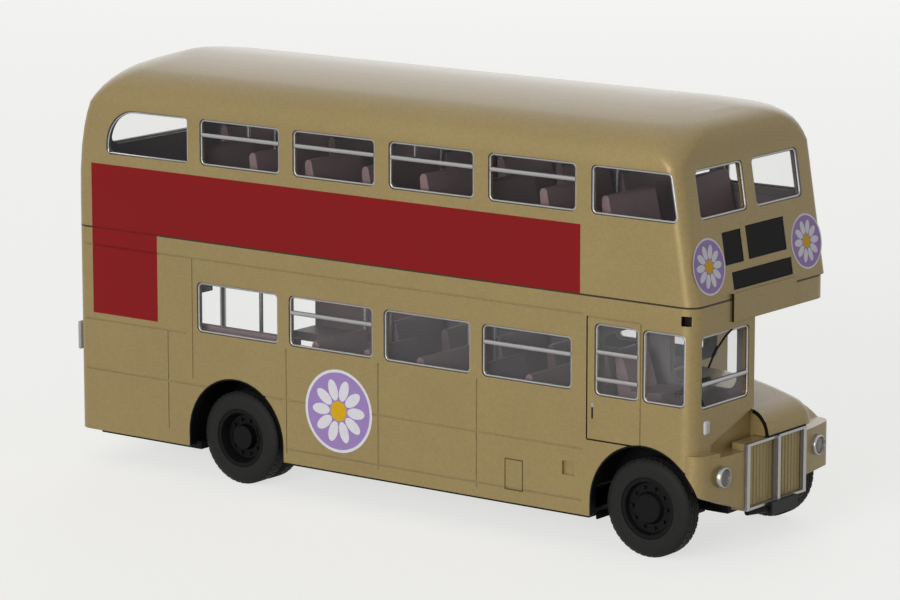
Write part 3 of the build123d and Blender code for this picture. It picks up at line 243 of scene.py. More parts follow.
def moulded(name, colour, rough, grain_mm, grain, speck, specks, gloss=0.18):
    """Moulded plastic of one colour: cloudy shade from the flow, fine tool grain, dust and paler rubbed edges."""
    made, add, place = start(name)
    cloud = add("ShaderNodeTexNoise", {"Vector": place, "Scale": 1 / (6 * MM), "Detail": 4.0})
    base = mottled(add, colour, cloud, 0.82, 1.18)
    dust = add("ShaderNodeTexNoise", {"Vector": place, "Scale": 1 / (1.2 * MM), "Detail": 6.0})
    settled = add("ShaderNodeMapRange", {"Value": dust, "From Min": 0.55, "From Max": 0.8, "To Max": specks})
    base = add("ShaderNodeMix", {"Factor": settled, "A": base, "B": srgb(speck)}, data_type="RGBA")
    eased, worn = rubbed_edges(add, 0.1, 0.3)
    paler = add("ShaderNodeVectorMath", {0: tuple(colour)[:3], "Scale": 2.2}, operation="SCALE")
    base = add("ShaderNodeMix", {"Factor": worn, "A": base, "B": paler}, data_type="RGBA")
    dulled = add("ShaderNodeMapRange", {"Value": dust, "To Min": rough - 0.07, "To Max": rough + 0.07})
    fine = add("ShaderNodeTexNoise", {"Vector": place, "Scale": 1 / (grain_mm * MM), "Detail": 2.0})
    bump = add("ShaderNodeBump", {"Height": fine, "Strength": grain, "Distance": 0.05 * MM, "Normal": eased})
    shader = add("ShaderNodeBsdfPrincipled", {"Base Color": base, "Roughness": dulled, "Normal": bump,
                                              "Specular IOR Level": gloss})
    add("ShaderNodeOutputMaterial", {"Surface": shader})
    return made


def metal(name, colour, rough, streak_mm):
    """Bright metal or foil: fine lengthwise streaks that widen the highlight."""
    made, add, place = start(name)
    stretched = add("ShaderNodeMapping", {"Vector": place, "Scale": (0.15, 1.0, 1.0)})
    streak = add("ShaderNodeTexNoise", {"Vector": stretched, "Scale": 1 / (streak_mm * MM), "Detail": 3.0})
    base = mottled(add, colour, streak, 0.85, 1.08)
    brushed = add("ShaderNodeMapRange", {"Value": streak, "To Min": rough - 0.06, "To Max": rough + 0.1})
    bump = add("ShaderNodeBump", {"Height": streak, "Strength": 0.05, "Distance": 0.03 * MM})
    shader = add("ShaderNodeBsdfPrincipled", {"Base Color": base, "Metallic": 0.9, "Roughness": brushed,
                                              "Normal": bump})
    add("ShaderNodeOutputMaterial", {"Surface": shader})
    return made


def clear_styrene(name, colour, see):
    """Clear polystyrene moulding: mostly see-through, with a glossy face that is faintly wavy and hazy."""
    made, add, place = start(name)
    wave = add("ShaderNodeTexNoise", {"Vector": place, "Scale": 1 / (5 * MM), "Detail": 1.0})
    bump = add("ShaderNodeBump", {"Height": wave, "Strength": 0.1, "Distance": 0.1 * MM})
    haze = add("ShaderNodeTexNoise", {"Vector": place, "Scale": 1 / (2.5 * MM), "Detail": 4.0})
    rough = add("ShaderNodeMapRange", {"Value": haze, "To Min": 0.03, "To Max": 0.12})
    face = add("ShaderNodeBsdfPrincipled", {"Base Color": srgb(colour), "Roughness": rough, "IOR": 1.59,
                                            "Normal": bump})
    through = add("ShaderNodeBsdfTransparent", {"Color": srgb("#FEFEFE")})
    # Both faces of a pane gloss alike, so the share follows the angle and not the side it is met from
    facing = add("ShaderNodeLayerWeight", {"Blend": 0.5, "Normal": bump}).outputs["Facing"]
    gloss = add("ShaderNodeMath", {0: facing, 1: 5.0}, operation="POWER")
    film = add("ShaderNodeMapRange", {"Value": gloss, "To Min": 1 - see, "To Max": 1.0})
    mixed = add("ShaderNodeMixShader", {"Fac": film, 1: through, 2: face})
    add("ShaderNodeOutputMaterial", {"Surface": mixed})
    return made


def printed(name, colour):
    """Pad-printed ink: thin and even, with a slight mottle."""
    made, add, place = start(name)
    mottle = add("ShaderNodeTexNoise", {"Vector": place, "Scale": 1 / (0.7 * MM), "Detail": 3.0})
    rough = add("ShaderNodeMapRange", {"Value": mottle, "To Min": 0.42, "To Max": 0.55})
    shader = add("ShaderNodeBsdfPrincipled", {"Base Color": mottled(add, colour, mottle, 0.9, 1.08),
                                              "Roughness": rough, "Specular IOR Level": 0.15})
    add("ShaderNodeOutputMaterial", {"Surface": shader})
    return made


@cache
def finish_of(name):
    """Finish by name, made at its first use."""
    p = paint()
    # Columns of metal: name, colour, roughness, streak in mm. Of clear styrene: name, colour, share seen through.
    # Of a moulding: name, colour, roughness, grain in mm, its strength, colour and share of dust, gloss
    makers = {
        "gold": (gold_lacquer,),
        # Foil pressed on the raised bars: bright, with streaks along them
        "silver": (metal, "silver_hot_foil", p.silver, 0.3, 0.3),
        # Drawn wire: darker than the foil, with a sharper shine
        "steel": (metal, "bright_steel_pin", srgb("#9A9B9C"), 0.25, 0.2),
        # Self-coloured moulding: deep black with a soft sheen
        "black": (moulded, "black_moulded_styrene", p.black, 0.5, 0.3, 0.1, "#2C2B29", 0.1, 0.1),
        # Soft vinyl: dull, grainy, and grey where dust settles
        "tyre": (moulded, "black_soft_vinyl_tyre", p.tyre, 0.62, 0.25, 0.16, "#45433F", 0.15),
        # Seats and floors in one dusky moulding with a satin face
        "interior": (moulded, "aubergine_moulded_styrene", p.inside, 0.45, 0.4, 0.1, "#6A5F64", 0.2),
        # Clean panes: almost invisible but for the gloss at a flat angle
        "clear": (clear_styrene, "clear_styrene_glazing", "#D4D8DA", 0.985),
        # Handled panes: a thin grey veil over what is behind
        "dusty": (clear_styrene, "dusty_clear_styrene_glazing", "#D4D8DA", 0.94),
        # Headlamp lens: milky enough to hide the bare pocket
        "lens": (clear_styrene, "clear_lamp_lens", "#A9ACAE", 0.7),
        # Tinted styrene: deep red with a wet gloss
        "red_lens": (moulded, "red_tinted_styrene", p.lamp, 0.2, 0.6, 0.03, "#FF5040", 0.1),
        # Gloss black print behind the blank displays
        "display": (moulded, "black_printed_display", p.blind, 0.3, 0.5, 0.04, "#1E1B13", 0.1, 0.06),
        # Satin black print on the blank plates
        "plate": (moulded, "black_printed_plate", p.plate, 0.4, 0.4, 0.05, "#4A4A48", 0.15),
        # White lens: pale, smooth and a little cloudy
        "milk": (moulded, "white_lamp_lens", p.milk, 0.25, 0.5, 0.03, "#B9B6AE", 0.2),
        # Unpainted pale grey moulding with a satin face
        "pale": (moulded, "pale_grey_styrene", p.pale, 0.45, 0.4, 0.08, "#8E8F8B", 0.2),
        # Painted shadow of a shallow panel line, as a thin brown ink
        "line": (printed, "shadow_line_ink", srgb("#5C4E2E")),
        # Opaque inks of the badges: even, dull and slightly mottled
        "lilac": (printed, "lilac_ink", p.lilac),
        "yellow": (printed, "yellow_ink", p.yellow),
        "white": (printed, "white_ink", p.white),
    }
    maker, *values = makers[name]
    return maker(*values)


def show(name, mesh, body, stands_for=()):
    """Finished piece that rides on a body."""
    piece = bpy.data.objects.new(name, mesh)
    bpy.context.scene.collection.objects.link(piece)
    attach(piece, body)
    if stands_for:
        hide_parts(*stands_for)
    return piece


# Panes nearest the road and the driver's hands carry a little dust
DUSTY_PANES = ("lower_glazing_offside", "lower_glazing_nearside", "cab_glazing")


def paint_solids():
    """Gives each solid the finish of its slot in the record, and dust to the lower panes."""
    for row in frame["record"]["subparts"]:
        mesh = nodes[row["node"]].data
        mesh.materials.clear()
        mesh.materials.append(finish_of("dusty" if row["node"] in DUSTY_PANES else row["material_slot"]))


def mesh_of(work, name, *inks):
    """Mesh of a worked shape with its finishes."""
    mesh = bpy.data.meshes.new(name)
    work.to_mesh(mesh)
    work.free()
    for ink in inks:
        mesh.materials.append(finish_of(ink))
    return mesh


def soften(work, degrees):
    """Smooth shading, with the edges that bend more than an angle kept crisp."""
    for face in work.faces:
        face.smooth = True
    for edge in work.edges:
        edge.smooth = len(edge.link_faces) == 2 and edge.calc_face_angle() < math.radians(degrees)


def close(work, name, finish, degrees):
    """Mesh of a worked shape with its faces turned outwards, softened and with one finish."""
    bmesh.ops.recalc_face_normals(work, faces=work.faces)
    soften(work, degrees)
    return mesh_of(work, name, finish)


def copy_of(node):
    """Copy of a solid's loose triangles, merged to one skin."""
    work = bmesh.new()
    work.from_mesh(nodes[node].data)
    bmesh.ops.remove_doubles(work, verts=work.verts, dist=0.002 * MM)
    return work


def bridge(work, here, there):
    """Faces between two closed rows of points."""
    count = len(here)
    for k in range(count):
        j = (k + 1) % count
        work.faces.new((here[k], here[j], there[j], there[k]))


def strip(work, rows):
    """Closed bar through rows of points, given in millimetres."""
    rings = [[work.verts.new(Vector(p) * MM) for p in row] for row in rows]
    for here, there in zip(rings, rings[1:]):
        bridge(work, here, there)
    work.faces.new(rings[0][::-1])
    work.faces.new(rings[-1])


def spin(work, section, turns, place):
    """Ring of a section turned about an axis; place turns a pair of the section and an angle to a point."""
    rings = [[work.verts.new(place(a, b, 2 * math.pi * n / turns)) for a, b in section] for n in range(turns)]
    for n, ring in enumerate(rings):
        bridge(work, ring, rings[(n + 1) % turns])


def start_tree(name, given, made, inputs):
    """Geometry tree with its named inputs and a finish. Columns of inputs: name, kind, default."""
    tree = bpy.data.node_groups.new(name, "GeometryNodeTree")
    tree.interface.new_socket(given, in_out="INPUT", socket_type="NodeSocketGeometry")
    for label, kind, default in inputs:
        tree.interface.new_socket(label, in_out="INPUT", socket_type="NodeSocket" + kind).default_value = default
    tree.interface.new_socket("Finish", in_out="INPUT", socket_type="NodeSocketMaterial")
    tree.interface.new_socket(made, in_out="OUTPUT", socket_type="NodeSocketGeometry")
    add = partial(put, tree)
    return tree, add, add("NodeGroupInput").outputs


def end_tree(add, shape, finish):
    """Ends a geometry tree: its instances are made real and dressed."""
    solid = add("GeometryNodeRealizeInstances", {"Geometry": shape})
    dressed = add("GeometryNodeSetMaterial", {"Geometry": solid, "Material": finish})
    add("NodeGroupOutput", {0: dressed})


@cache
def moulding_tree():
    """Geometry tree that runs a round or square bar along edges."""
    tree, add, given = start_tree("bar_along_lines", "Lines", "Bars", [("Width", "Float", 0.3 * MM),
                                                                       ("Round", "Bool", False)])
    path = add("GeometryNodeMeshToCurve", {"Mesh": given["Lines"]})
    square = add("GeometryNodeCurvePrimitiveQuadrilateral", {"Width": given["Width"], "Height": given["Width"]})
    half = add("ShaderNodeMath", {0: given["Width"], 1: 0.5}, operation="MULTIPLY")
    ring = add("GeometryNodeCurvePrimitiveCircle", {"Resolution": 10, "Radius": half})
    profile = add("GeometryNodeSwitch", {"Switch": given["Round"], "False": square, "True": ring},
                  input_type="GEOMETRY")
    bar = add("GeometryNodeCurveToMesh", {"Curve": path, "Profile Curve": profile, "Fill Caps": True})
    end_tree(add, bar, given["Finish"])
    return tree


# Turns what lies flat about the Z axis to stand about the axles
UPRIGHT = (math.pi / 2, 0.0, 0.0)


def set_round(add, given, piece, turn):
    """Ends a geometry tree with a piece set round the axle at each given point."""
    circle = add("GeometryNodeMeshCircle", {"Vertices": given["Count"], "Radius": given["Radius"]})
    circle = add("GeometryNodeTransform", {"Geometry": circle, "Rotation": UPRIGHT})
    one = add("GeometryNodeInstanceOnPoints", {"Points": circle, "Instance": piece, "Rotation": turn})
    every = add("GeometryNodeInstanceOnPoints", {"Points": given["Places"], "Instance": one})
    end_tree(add, every, given["Finish"])


@cache
def bolts_tree():
    """Geometry tree that sets small bolts round each hub, along the axle."""
    tree, add, given = start_tree("bolts_round_hub", "Places", "Bolts", [
        ("Count", "Int", 8), ("Radius", "Float", 2.6 * MM), ("Bolt radius", "Float", 0.22 * MM),
        ("Bolt height", "Float", 0.25 * MM)])
    bolt = add("GeometryNodeMeshCone", {"Vertices": 6, "Radius Top": given["Bolt radius"],
                                        "Radius Bottom": given["Bolt radius"], "Depth": given["Bolt height"]})
    bolt = add("GeometryNodeTransform", {"Geometry": bolt, "Rotation": UPRIGHT})
    set_round(add, given, bolt, (0.0, 0.0, 0.0))
    return tree


@cache
def tread_tree():
    """Geometry tree that sets tread blocks round each tyre's shoulder, each turned to face outwards."""
    tree, add, given = start_tree("blocks_round_tyre", "Places", "Blocks", [
        ("Count", "Int", 44), ("Radius", "Float", 5.5 * MM), ("Block", "Vector", (0.6 * MM, 0.36 * MM, 0.14 * MM))])
    block = add("GeometryNodeMeshCube", {"Size": given["Block"]})
    outward = add("FunctionNodeAlignRotationToVector", {"Vector": add("GeometryNodeInputPosition")}, axis="Z",
                  pivot_axis="Y")
    set_round(add, given, block, outward)
    return tree


def grow(mesh, tree, values):
    """Plain mesh that a geometry tree makes of a start mesh."""
    carrier = bpy.data.objects.new("carrier", mesh)
    bpy.context.scene.collection.objects.link(carrier)
    modifier = carrier.modifiers.new("shape", "NODES")
    modifier.node_group = tree
    for item in tree.interface.items_tree:
        if item.in_out == "INPUT" and item.name in values:
            modifier[item.identifier] = values[item.name]
    bpy.context.view_layer.update()
    graph = bpy.context.evaluated_depsgraph_get()
    made = bpy.data.meshes.new_from_object(carrier.evaluated_get(graph))
    carrier.modifiers.clear()
    bpy.data.objects.remove(carrier)
    return made


def points_mesh(name, points, edges=()):
    """Mesh of loose points, or of bare edges between them, given in millimetres."""
    mesh = bpy.data.meshes.new(name)
    mesh.from_pydata([tuple(Vector(p) * MM) for p in points], edges, [])
    return mesh


def bars(name, paths, width, finish, rounded=True, closed=False):
    """Finished piece of bars of one width that run along paths of points."""
    points, edges = [], []
    for path in paths:
        first = len(points)
        points += path
        edges += [(n, n + 1) for n in range(first, len(points) - 1)]
        if closed:
            edges.append((len(points) - 1, first))
    mesh = grow(points_mesh(name, points, edges), moulding_tree(),
                {"Width": width, "Round": rounded, "Finish": finish_of(finish)})
    return show(name, mesh, "body")


# Places on the shells that carry no gold: 1 is bare plastic and 2 is painted shade in a groove, socket or step.
# Columns: low corner, high corner, level
BARE_BOXES = [
    ((29.7, -13.2, 13.0), (43.7, -2.0, 29.25), 1.0),
    ((42.6, -13.97, 27.1), (44.0, -12.0, 28.4), 2.0),
    ((29.85, -13.98, 12.6), (30.2, -13.6, 27.0), 2.0),
    ((29.85, -13.98, 12.6), (37.0, -13.6, 12.95), 2.0),
    ((44.35, -6.55, 26.6), (44.82, -6.45, 30.3), 2.0),
    ((44.35, 6.45, 26.6), (44.82, 6.55, 30.3), 2.0),
]
# How far the line that the inner faces look at stays from a shell's ends, foot and head
CORE_ENDS, CORE_FOOT, CORE_HEAD = 12 * MM, 5 * MM, 10 * MM


def shell_skin(node):
    """Joined copy of a shell's triangles, smooth over its curves, that knows its inner faces."""
    work = copy_of(node)
    low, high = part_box(node)
    inner = work.faces.layers.float.new("inner")
    for face in work.faces:
        middle = face.calc_center_median()
        core = Vector((min(max(middle.x, low.x + CORE_ENDS), high.x - CORE_ENDS), 0.0,
                       min(max(middle.z, low.z + CORE_FOOT), high.z - CORE_HEAD)))
        hollow = face.normal.dot(middle - core) < -0.2 * (middle - core).length
        levels = [level for corner, far, level in BARE_BOXES
                  if all(a <= c / MM <= b for a, c, b in zip(corner, middle, far))]
        face[inner] = max(levels + [1.0 if hollow else 0.0])
    soften(work, 24)
    return mesh_of(work, node + "_skin", "gold")


class BUS_OT_body(bpy.types.Operator):
    """Paint the solids and give the two shells smooth skins with the printed band"""

    bl_idname = "bus.body"
    bl_label = "Body"

    def execute(self, context):
        paint_solids()
        show("upper_body", shell_skin("upper_shell"), "body", ["upper_shell"])
        show("lower_body", shell_skin("lower_shell"), "body", ["lower_shell"])
        return {"FINISHED"}


def round_corners(corners, radius, steps=5):
    """Outline in a plane with each corner rounded."""
    points = []
    count = len(corners)
    for n, corner in enumerate(corners):
        here = Vector(corner)
        back = (Vector(corners[n - 1]) - here).normalized()
        ahead = (Vector(corners[(n + 1) % count]) - here).normalized()
        half = math.acos(max(-1, min(1, back.dot(ahead)))) / 2
        reach = radius / math.tan(half)
        a, b = here + back * reach, here + ahead * reach
        centre = here + (back + ahead).normalized() * (radius / math.sin(half))
        for k in range(steps + 1):
            point = a.lerp(b, k / steps) - centre
            points.append(centre + point.normalized() * radius)
    return points


def box_outline(left, right, foot, head, inset, radius=0.7):
    """Rounded window outline, drawn in by an inset."""
    corners = [(left + inset, foot + inset), (right - inset, foot + inset), (right - inset, head - inset),
               (left + inset, head - inset)]
    return round_corners(corners, max(radius - inset, 0.2))


# Windows, in millimetres
UPPER_SILL, UPPER_HEAD = 38.5, 44.1
LOWER_SILL, LOWER_HEAD = 18.1, 24.25
# Columns: left, right, foot, head, has a bar
SIDE_WINDOWS = [(16.25 - 14.25 * n, 28.5 - 14.25 * n, UPPER_SILL, UPPER_HEAD, True) for n in range(4)]
SIDE_WINDOWS += [(15.4 - 14.2 * n, 28.0 - 14.2 * n, LOWER_SILL, LOWER_HEAD, n in (0, 2)) for n in range(4)]
# Columns: left, right, foot, head
CAB_WINDOWS = [(31.1, 37.1, 17.9, 26.2), (37.6, 43.3, 17.9, 26.2)]
UPPER_FRONT = (0.9, 10.5, UPPER_SILL, UPPER_HEAD)
WINDSCREEN = (-12.5, -2.7, 17.6, 25.9)
UPPER_REAR = (-8.6, 8.6, UPPER_SILL, UPPER_HEAD)
LOWER_REAR = (-9.9, 3.1, LOWER_SILL, LOWER_HEAD)
# Foremost side window, with its back edge and the pillar ahead of it, and rear quarter window with its curved corner
FORE_BACK, FORE_PILLAR, FORE_RADIUS = 30.5, 0.75, 0.55
QUARTER_BACK, QUARTER_FRONT, QUARTER_CURVE = -41.35, -28.35, 4.6
# Depths at which frames lie in the sides, the windscreen, the lower rear, and behind the upper front and rear faces
PANE_Y, SCREEN_X, LOWER_REAR_X, SINK = 13.72, 44.22, -46.42, 0.28
# Upper front, which leans back above the seam, and tail, which bends in towards the roof
FRONT_X, SEAM_Z, FRONT_LEAN = 44.45, 29.3, math.radians(9.5)
TAIL_X, BEND_Z, ROOF_Z, TAIL_REACH, TAIL_POWER = -46.7, 32.7, 50.3, 9.0, 2.6
# Share of a window's height at which its bar lies, and how far bars stop short of the cut
BAR_SHARE, BAR_END = 0.66, 0.2
DOOR_BARS, SCREEN_BAR = (22.9, 19.8), 20.4


def upper_front(across, height, out=0.0):
    """Point on the leaning upper front at a place across and a height."""
    return Vector((FRONT_X - (height - SEAM_Z) * math.tan(FRONT_LEAN) + out * math.cos(FRONT_LEAN), across,
                   height + out * math.sin(FRONT_LEAN)))


def tail(height):
    """X of the curved tail at a height."""
    rise = max(height - BEND_Z, 0) / (ROOF_Z - BEND_Z)
    return TAIL_X + TAIL_REACH * (1 - math.sqrt(1 - rise ** TAIL_POWER))


def fore_outline(inset):
    """Outline of the foremost upper side window, whose front edge leans with the front."""
    sill, head = UPPER_SILL + inset, UPPER_HEAD - inset
    slope = math.tan(FRONT_LEAN)
    return round_corners([(FORE_BACK + inset, sill),
                          (FRONT_X - (UPPER_SILL - SEAM_Z) * slope - FORE_PILLAR - inset, sill),
                          (FRONT_X - (UPPER_HEAD - SEAM_Z) * slope - FORE_PILLAR - inset, head),
                          (FORE_BACK + inset, head)], FORE_RADIUS)


def quarter_outline(inset):
    """Outline of the rear quarter window, with its large curve at the upper rear corner."""
    back, front = QUARTER_BACK + inset, QUARTER_FRONT - inset
    sill, head = UPPER_SILL + inset, UPPER_HEAD - inset
    curve = QUARTER_CURVE - inset
    centre = Vector((back + curve, head - curve))
    angles = [math.radians(a) for a in range(0, 91, 10)]
    arc = [centre + curve * Vector((-math.cos(a), math.sin(a))) for a in angles]
    return [Vector((front, sill)), Vector((back, sill))] + arc + [Vector((front, head))]


def window_lines(inset):
    """Outlines of all windows, as paths in the bus's frame."""
    paths = []
    for y in (-PANE_Y, PANE_Y):
        outlines = [box_outline(*window[:4], inset) for window in SIDE_WINDOWS]
        outlines += [fore_outline(inset), quarter_outline(inset)]
        paths += [[(p.x, y, p.y) for p in outline] for outline in outlines]
    paths += [[(p.x, -PANE_Y, p.y) for p in box_outline(*window, inset)] for window in CAB_WINDOWS]
    for side in (-1, 1):
        paths.append([upper_front(side * p.x, p.y, -SINK) for p in box_outline(*UPPER_FRONT, inset)])
    paths.append([(SCREEN_X, p.x, p.y) for p in box_outline(*WINDSCREEN, inset)])
    paths.append([(tail(p.y) + SINK, p.x, p.y) for p in box_outline(*UPPER_REAR, inset, 1.6)])
    paths.append([(LOWER_REAR_X, p.x, p.y) for p in box_outline(*LOWER_REAR, inset)])
    return paths


def bar_lines():
    """Bars across the opening windows, the cab door's window and the windscreen."""
    paths = []
    for y in (-PANE_Y, PANE_Y):
        for left, right, foot, head, bar in SIDE_WINDOWS:
            if bar:
                height = foot + BAR_SHARE * (head - foot)
                paths.append([(left + BAR_END, y, height), (right - BAR_END, y, height)])
    left, right = CAB_WINDOWS[0][:2]
    paths += [[(left + BAR_END, -PANE_Y, z), (right - BAR_END, -PANE_Y, z)] for z in DOOR_BARS]
    left, right = WINDSCREEN[:2]
    paths.append([(SCREEN_X, left + BAR_END, SCREEN_BAR), (SCREEN_X, right - BAR_END, SCREEN_BAR)])
    return paths


class BUS_OT_windows(bpy.types.Operator):
    """Run silver frames round the windows and bars across those that open"""

    bl_idname = "bus.windows"
    bl_label = "Window frames and bars"

    def execute(self, context):
        s = sizes()
        bars("window_frames", window_lines(s.frame_width / MM / 2), s.frame_width, "silver", False, True)
        bars("window_bars", bar_lines(), s.bar_width, "silver", False)
        return {"FINISHED"}


# Section of a tyre, in millimetres: rounded walls, a sunken rim band, two centre ribs and low shoulders for the blocks.
# Columns: depth from the outer face, radius
TYRE_SECTION = [
    (0.10, 3.56), (0.02, 3.75), (0.06, 3.95), (0.0, 4.3), (0.03, 4.75), (0.12, 5.15), (0.26, 5.42), (0.42, 5.57),
    (0.9, 5.57), (0.91, 5.65), (1.15, 5.65), (1.16, 5.55), (1.34, 5.55), (1.35, 5.65), (1.59, 5.65), (1.6, 5.57),
    (2.08, 5.57), (2.24, 5.42), (2.38, 5.15), (2.47, 4.75), (2.5, 4.3), (2.44, 3.95), (2.48, 3.75), (2.4, 3.56),
]
AXLE_Z = 5.65
FRONT_AXLE_X, REAR_AXLE_X = 37.9, -21.25
# Columns: body, x, outer faces of the tyres, depth of the bolts, radius of their ring
WHEELS = [("front_wheels", FRONT_AXLE_X, (13.3,), 12.62, 2.35), ("rear_wheels", REAR_AXLE_X, (13.3, 10.3), 12.05, 2.1)]
# Depths of the two rows of tread blocks from a tyre's outer face
SHOULDERS = (0.62, 1.88)
TREAD = {"Count": 44, "Radius": 5.57 * MM}
BOLTS = {"Count": 10, "Bolt radius": 0.2 * MM, "Bolt height": 0.3 * MM}


def turned_tyres(name, x, faces):
    """Tyres turned about an axle, alike on both sides of the bus."""
    work = bmesh.new()
    for side in (-1, 1):
        for face in faces:
            spin(work, TYRE_SECTION, 72, lambda d, r, a: ((x + r * math.sin(a)) * MM, side * (face - d) * MM,
                                                          (AXLE_Z + r * math.cos(a)) * MM))
    return close(work, name, "tyre", 40)


class BUS_OT_wheels(bpy.types.Operator):
    """Turn the tyres with their tread and set the wheel bolts round the hubs"""

    bl_idname = "bus.wheels"
    bl_label = "Tyres and wheel bolts"

    def execute(self, context):
        for body, x, faces, depth, radius in WHEELS:
            axle = body.split("_")[0]
            show(axle + "_road_tyres", turned_tyres(axle + "_road_tyres", x, faces), body, [axle + "_tyres"])
            shoulders = [(x, side * (face - d), AXLE_Z) for side in (-1, 1) for face in faces for d in SHOULDERS]
            blocks = grow(points_mesh(axle + "_shoulders", shoulders), tread_tree(),
                          {**TREAD, "Finish": finish_of("tyre")})
            show(axle + "_tyre_blocks", blocks, body)
            hubs = [(x, side * depth, AXLE_Z) for side in (-1, 1)]
            bolts = grow(points_mesh(axle + "_hub_points", hubs), bolts_tree(),
                         {**BOLTS, "Radius": radius * MM, "Finish": finish_of("black")})
            show(body + "_bolts", bolts, body)
        return {"FINISHED"}


# Wheel arches with a black lip. Columns: side, x, angle where the lip starts; at 0 it reaches down to the sill there
ARCHES = [(-1, REAR_AXLE_X, 0), (1, REAR_AXLE_X, 0), (-1, FRONT_AXLE_X, 24)]
ARCH_STEPS = 32
SILL_DROP = 1.7
# Section of the lip. Columns: radius, distance from the middle of the bus
LIP_SECTION = [(7.32, 13.98), (7.16, 13.98), (7.16, 12.98), (7.32, 12.98)]


def arch_lips():
    """Black edges inside the wheel arches, from the sill behind the wheel round to the front."""
    work = bmesh.new()
    for side, x, first in ARCHES:
        # Columns: along, up, drop below the axle's height
        angles = [math.radians(first + (180 - first) * n / ARCH_STEPS) for n in range(ARCH_STEPS + 1)]
        path = [(math.cos(a), math.sin(a), 0.0) for a in angles] + [(-1.0, 0.0, SILL_DROP)]
        if first == 0:
            path.insert(0, (1.0, 0.0, SILL_DROP))
        strip(work, [[(x + r * along, side * y, AXLE_Z + r * up - drop) for r, y in LIP_SECTION]
                     for along, up, drop in path])
    return close(work, "arch_lips", "black", 30)


GRILLE_CORE_X, RIB_SHARE = 46.1, 0.3


def grille_face():
    """Fine flat ribs of the radiator grille, lower than on the solid."""
    work = copy_of("radiator_grille")
    core = GRILLE_CORE_X * MM
    for vert in work.verts:
        if vert.co.x > core:
            vert.co.x = core + RIB_SHARE * (vert.co.x - core)
    return mesh_of(work, "grille_ribs", "gold")


def rounded_block(name, low, high, radius, finish):
    """Block between two corners with rounded edges."""
    work = bmesh.new()
    bmesh.ops.create_cube(work, size=1.0)
    for vert in work.verts:
        vert.co = low + Vector(((v + 0.5) * (b - a) for v, a, b in zip(vert.co, low, high)))
    bmesh.ops.bevel(work, geom=work.edges[:], offset=radius, segments=3, profile=0.5, affect="EDGES")
    return close(work, name, finish, 50)


FILM_Y = -14.006


def films(name, finish, boxes):
    """Flat printed strips on the offside. Columns: left, right, foot, head."""
    work = bmesh.new()
    for left, right, foot, head in boxes:
        corners = [(left, foot), (right, foot), (right, head), (left, head)]
        face = work.faces.new([work.verts.new((x * MM, FILM_Y * MM, z * MM)) for x, z in corners])
        face.normal_update()
        if face.normal.y > 0:
            face.normal_flip()
    return mesh_of(work, name, finish)


# Where the bonnet's inner edge starts, the stray point on it that is left out, and the gap's width, height and depth
EDGE_X, EDGE_FOOT, STRAY_X = 43.9, 12.9, 44.5
GAP_WIDE, GAP_OUT, GAP_IN = 0.45, 0.03, 0.05


def bonnet_gap_shade():
    """Black strip of painted shade in the gap along the bonnet's inner edge, following the solid's own outline."""
    points = [v.co / MM for v in nodes["bonnet"].data.vertices]
    edge = min(p.y for p in points)
    tops = {}
    for p in points:
        if p.y < edge + 0.02 and p.x > EDGE_X:
            key = round(p.x, 2)
            tops[key] = max(tops.get(key, 0.0), p.z)
    path = [Vector((x, z)) for x, z in sorted(tops.items()) if z > EDGE_FOOT and abs(x - STRAY_X) > 0.02]
    work = bmesh.new()
    rows = []
    for n, here in enumerate(path):
        ahead = (path[min(n + 1, len(path) - 1)] - path[max(n - 1, 0)]).normalized()
        down = Vector((ahead.y, -ahead.x))
        down = down if down.y < 0 or down.x < 0 else -down
        inside = here + down * GAP_WIDE
        rows.append([(p.x, y, p.y) for p, y in ((here, edge - GAP_OUT), (inside, edge - GAP_OUT),
                                                (inside, edge + GAP_IN), (here, edge + GAP_IN))])
    strip(work, rows)
    return close(work, "bonnet_gap_shade", "black", 30)


# Section of a headlamp ring. Columns: x, radius
RING_SECTION = [(46.08, 0.96), (46.5, 0.96), (46.56, 1.0), (46.56, 1.06), (46.5, 1.12), (46.3, 1.18), (46.08, 1.2)]
# Columns: y, z
HEADLAMPS = [(-10.4, 9.9), (9.4, 10.0)]


def lamp_rings():
    """Thin bright rings of the headlamps, turned about each lamp's axis."""
    work = bmesh.new()
    for y, z in HEADLAMPS:
        spin(work, RING_SECTION, 40, lambda x, r, a: Vector((x, y + r * math.cos(a), z + r * math.sin(a))) * MM)
    return close(work, "headlamp_rings", "silver", 50)


SIDE_LAMP = ((44.2, -12.0, 14.7), (44.78, -10.85, 16.3))
WIPER_X = 44.36
WIPER = [[(WIPER_X, -6.0, 25.95), (WIPER_X, -7.6, 25.2), (WIPER_X, -10.06, 23.5)],
         [(WIPER_X, -9.2, 24.35), (WIPER_X, -10.9, 22.2)]]
# Black bar of painted shade in the gap along the top of the grille
GRILLE_GAP_SHADE = [[(46.5, -1.6, 12.97), (46.5, 6.1, 12.97)]]
BUMPER = [(46.15 + 0.5 * math.cos(math.pi * t / 2), 6.3 * t, 5.0 - 0.35 * math.cos(math.pi * t / 2))
          for t in [n / 9 for n in range(-8, 9)]]
# Painted shadow lines round the outline of the flap low on the offside
FLAP_BACK, FLAP_FRONT, FLAP_FOOT, FLAP_HEAD, FLAP_LINE = 18.7, 21.3, 5.3, 9.0, 0.14
FLAP = [(FLAP_BACK, FLAP_FRONT, FLAP_HEAD - FLAP_LINE, FLAP_HEAD),
        (FLAP_BACK, FLAP_FRONT, FLAP_FOOT, FLAP_FOOT + FLAP_LINE),
        (FLAP_BACK, FLAP_BACK + FLAP_LINE, FLAP_FOOT + FLAP_LINE, FLAP_HEAD - FLAP_LINE),
        (FLAP_FRONT - FLAP_LINE, FLAP_FRONT, FLAP_FOOT + FLAP_LINE, FLAP_HEAD - FLAP_LINE)]
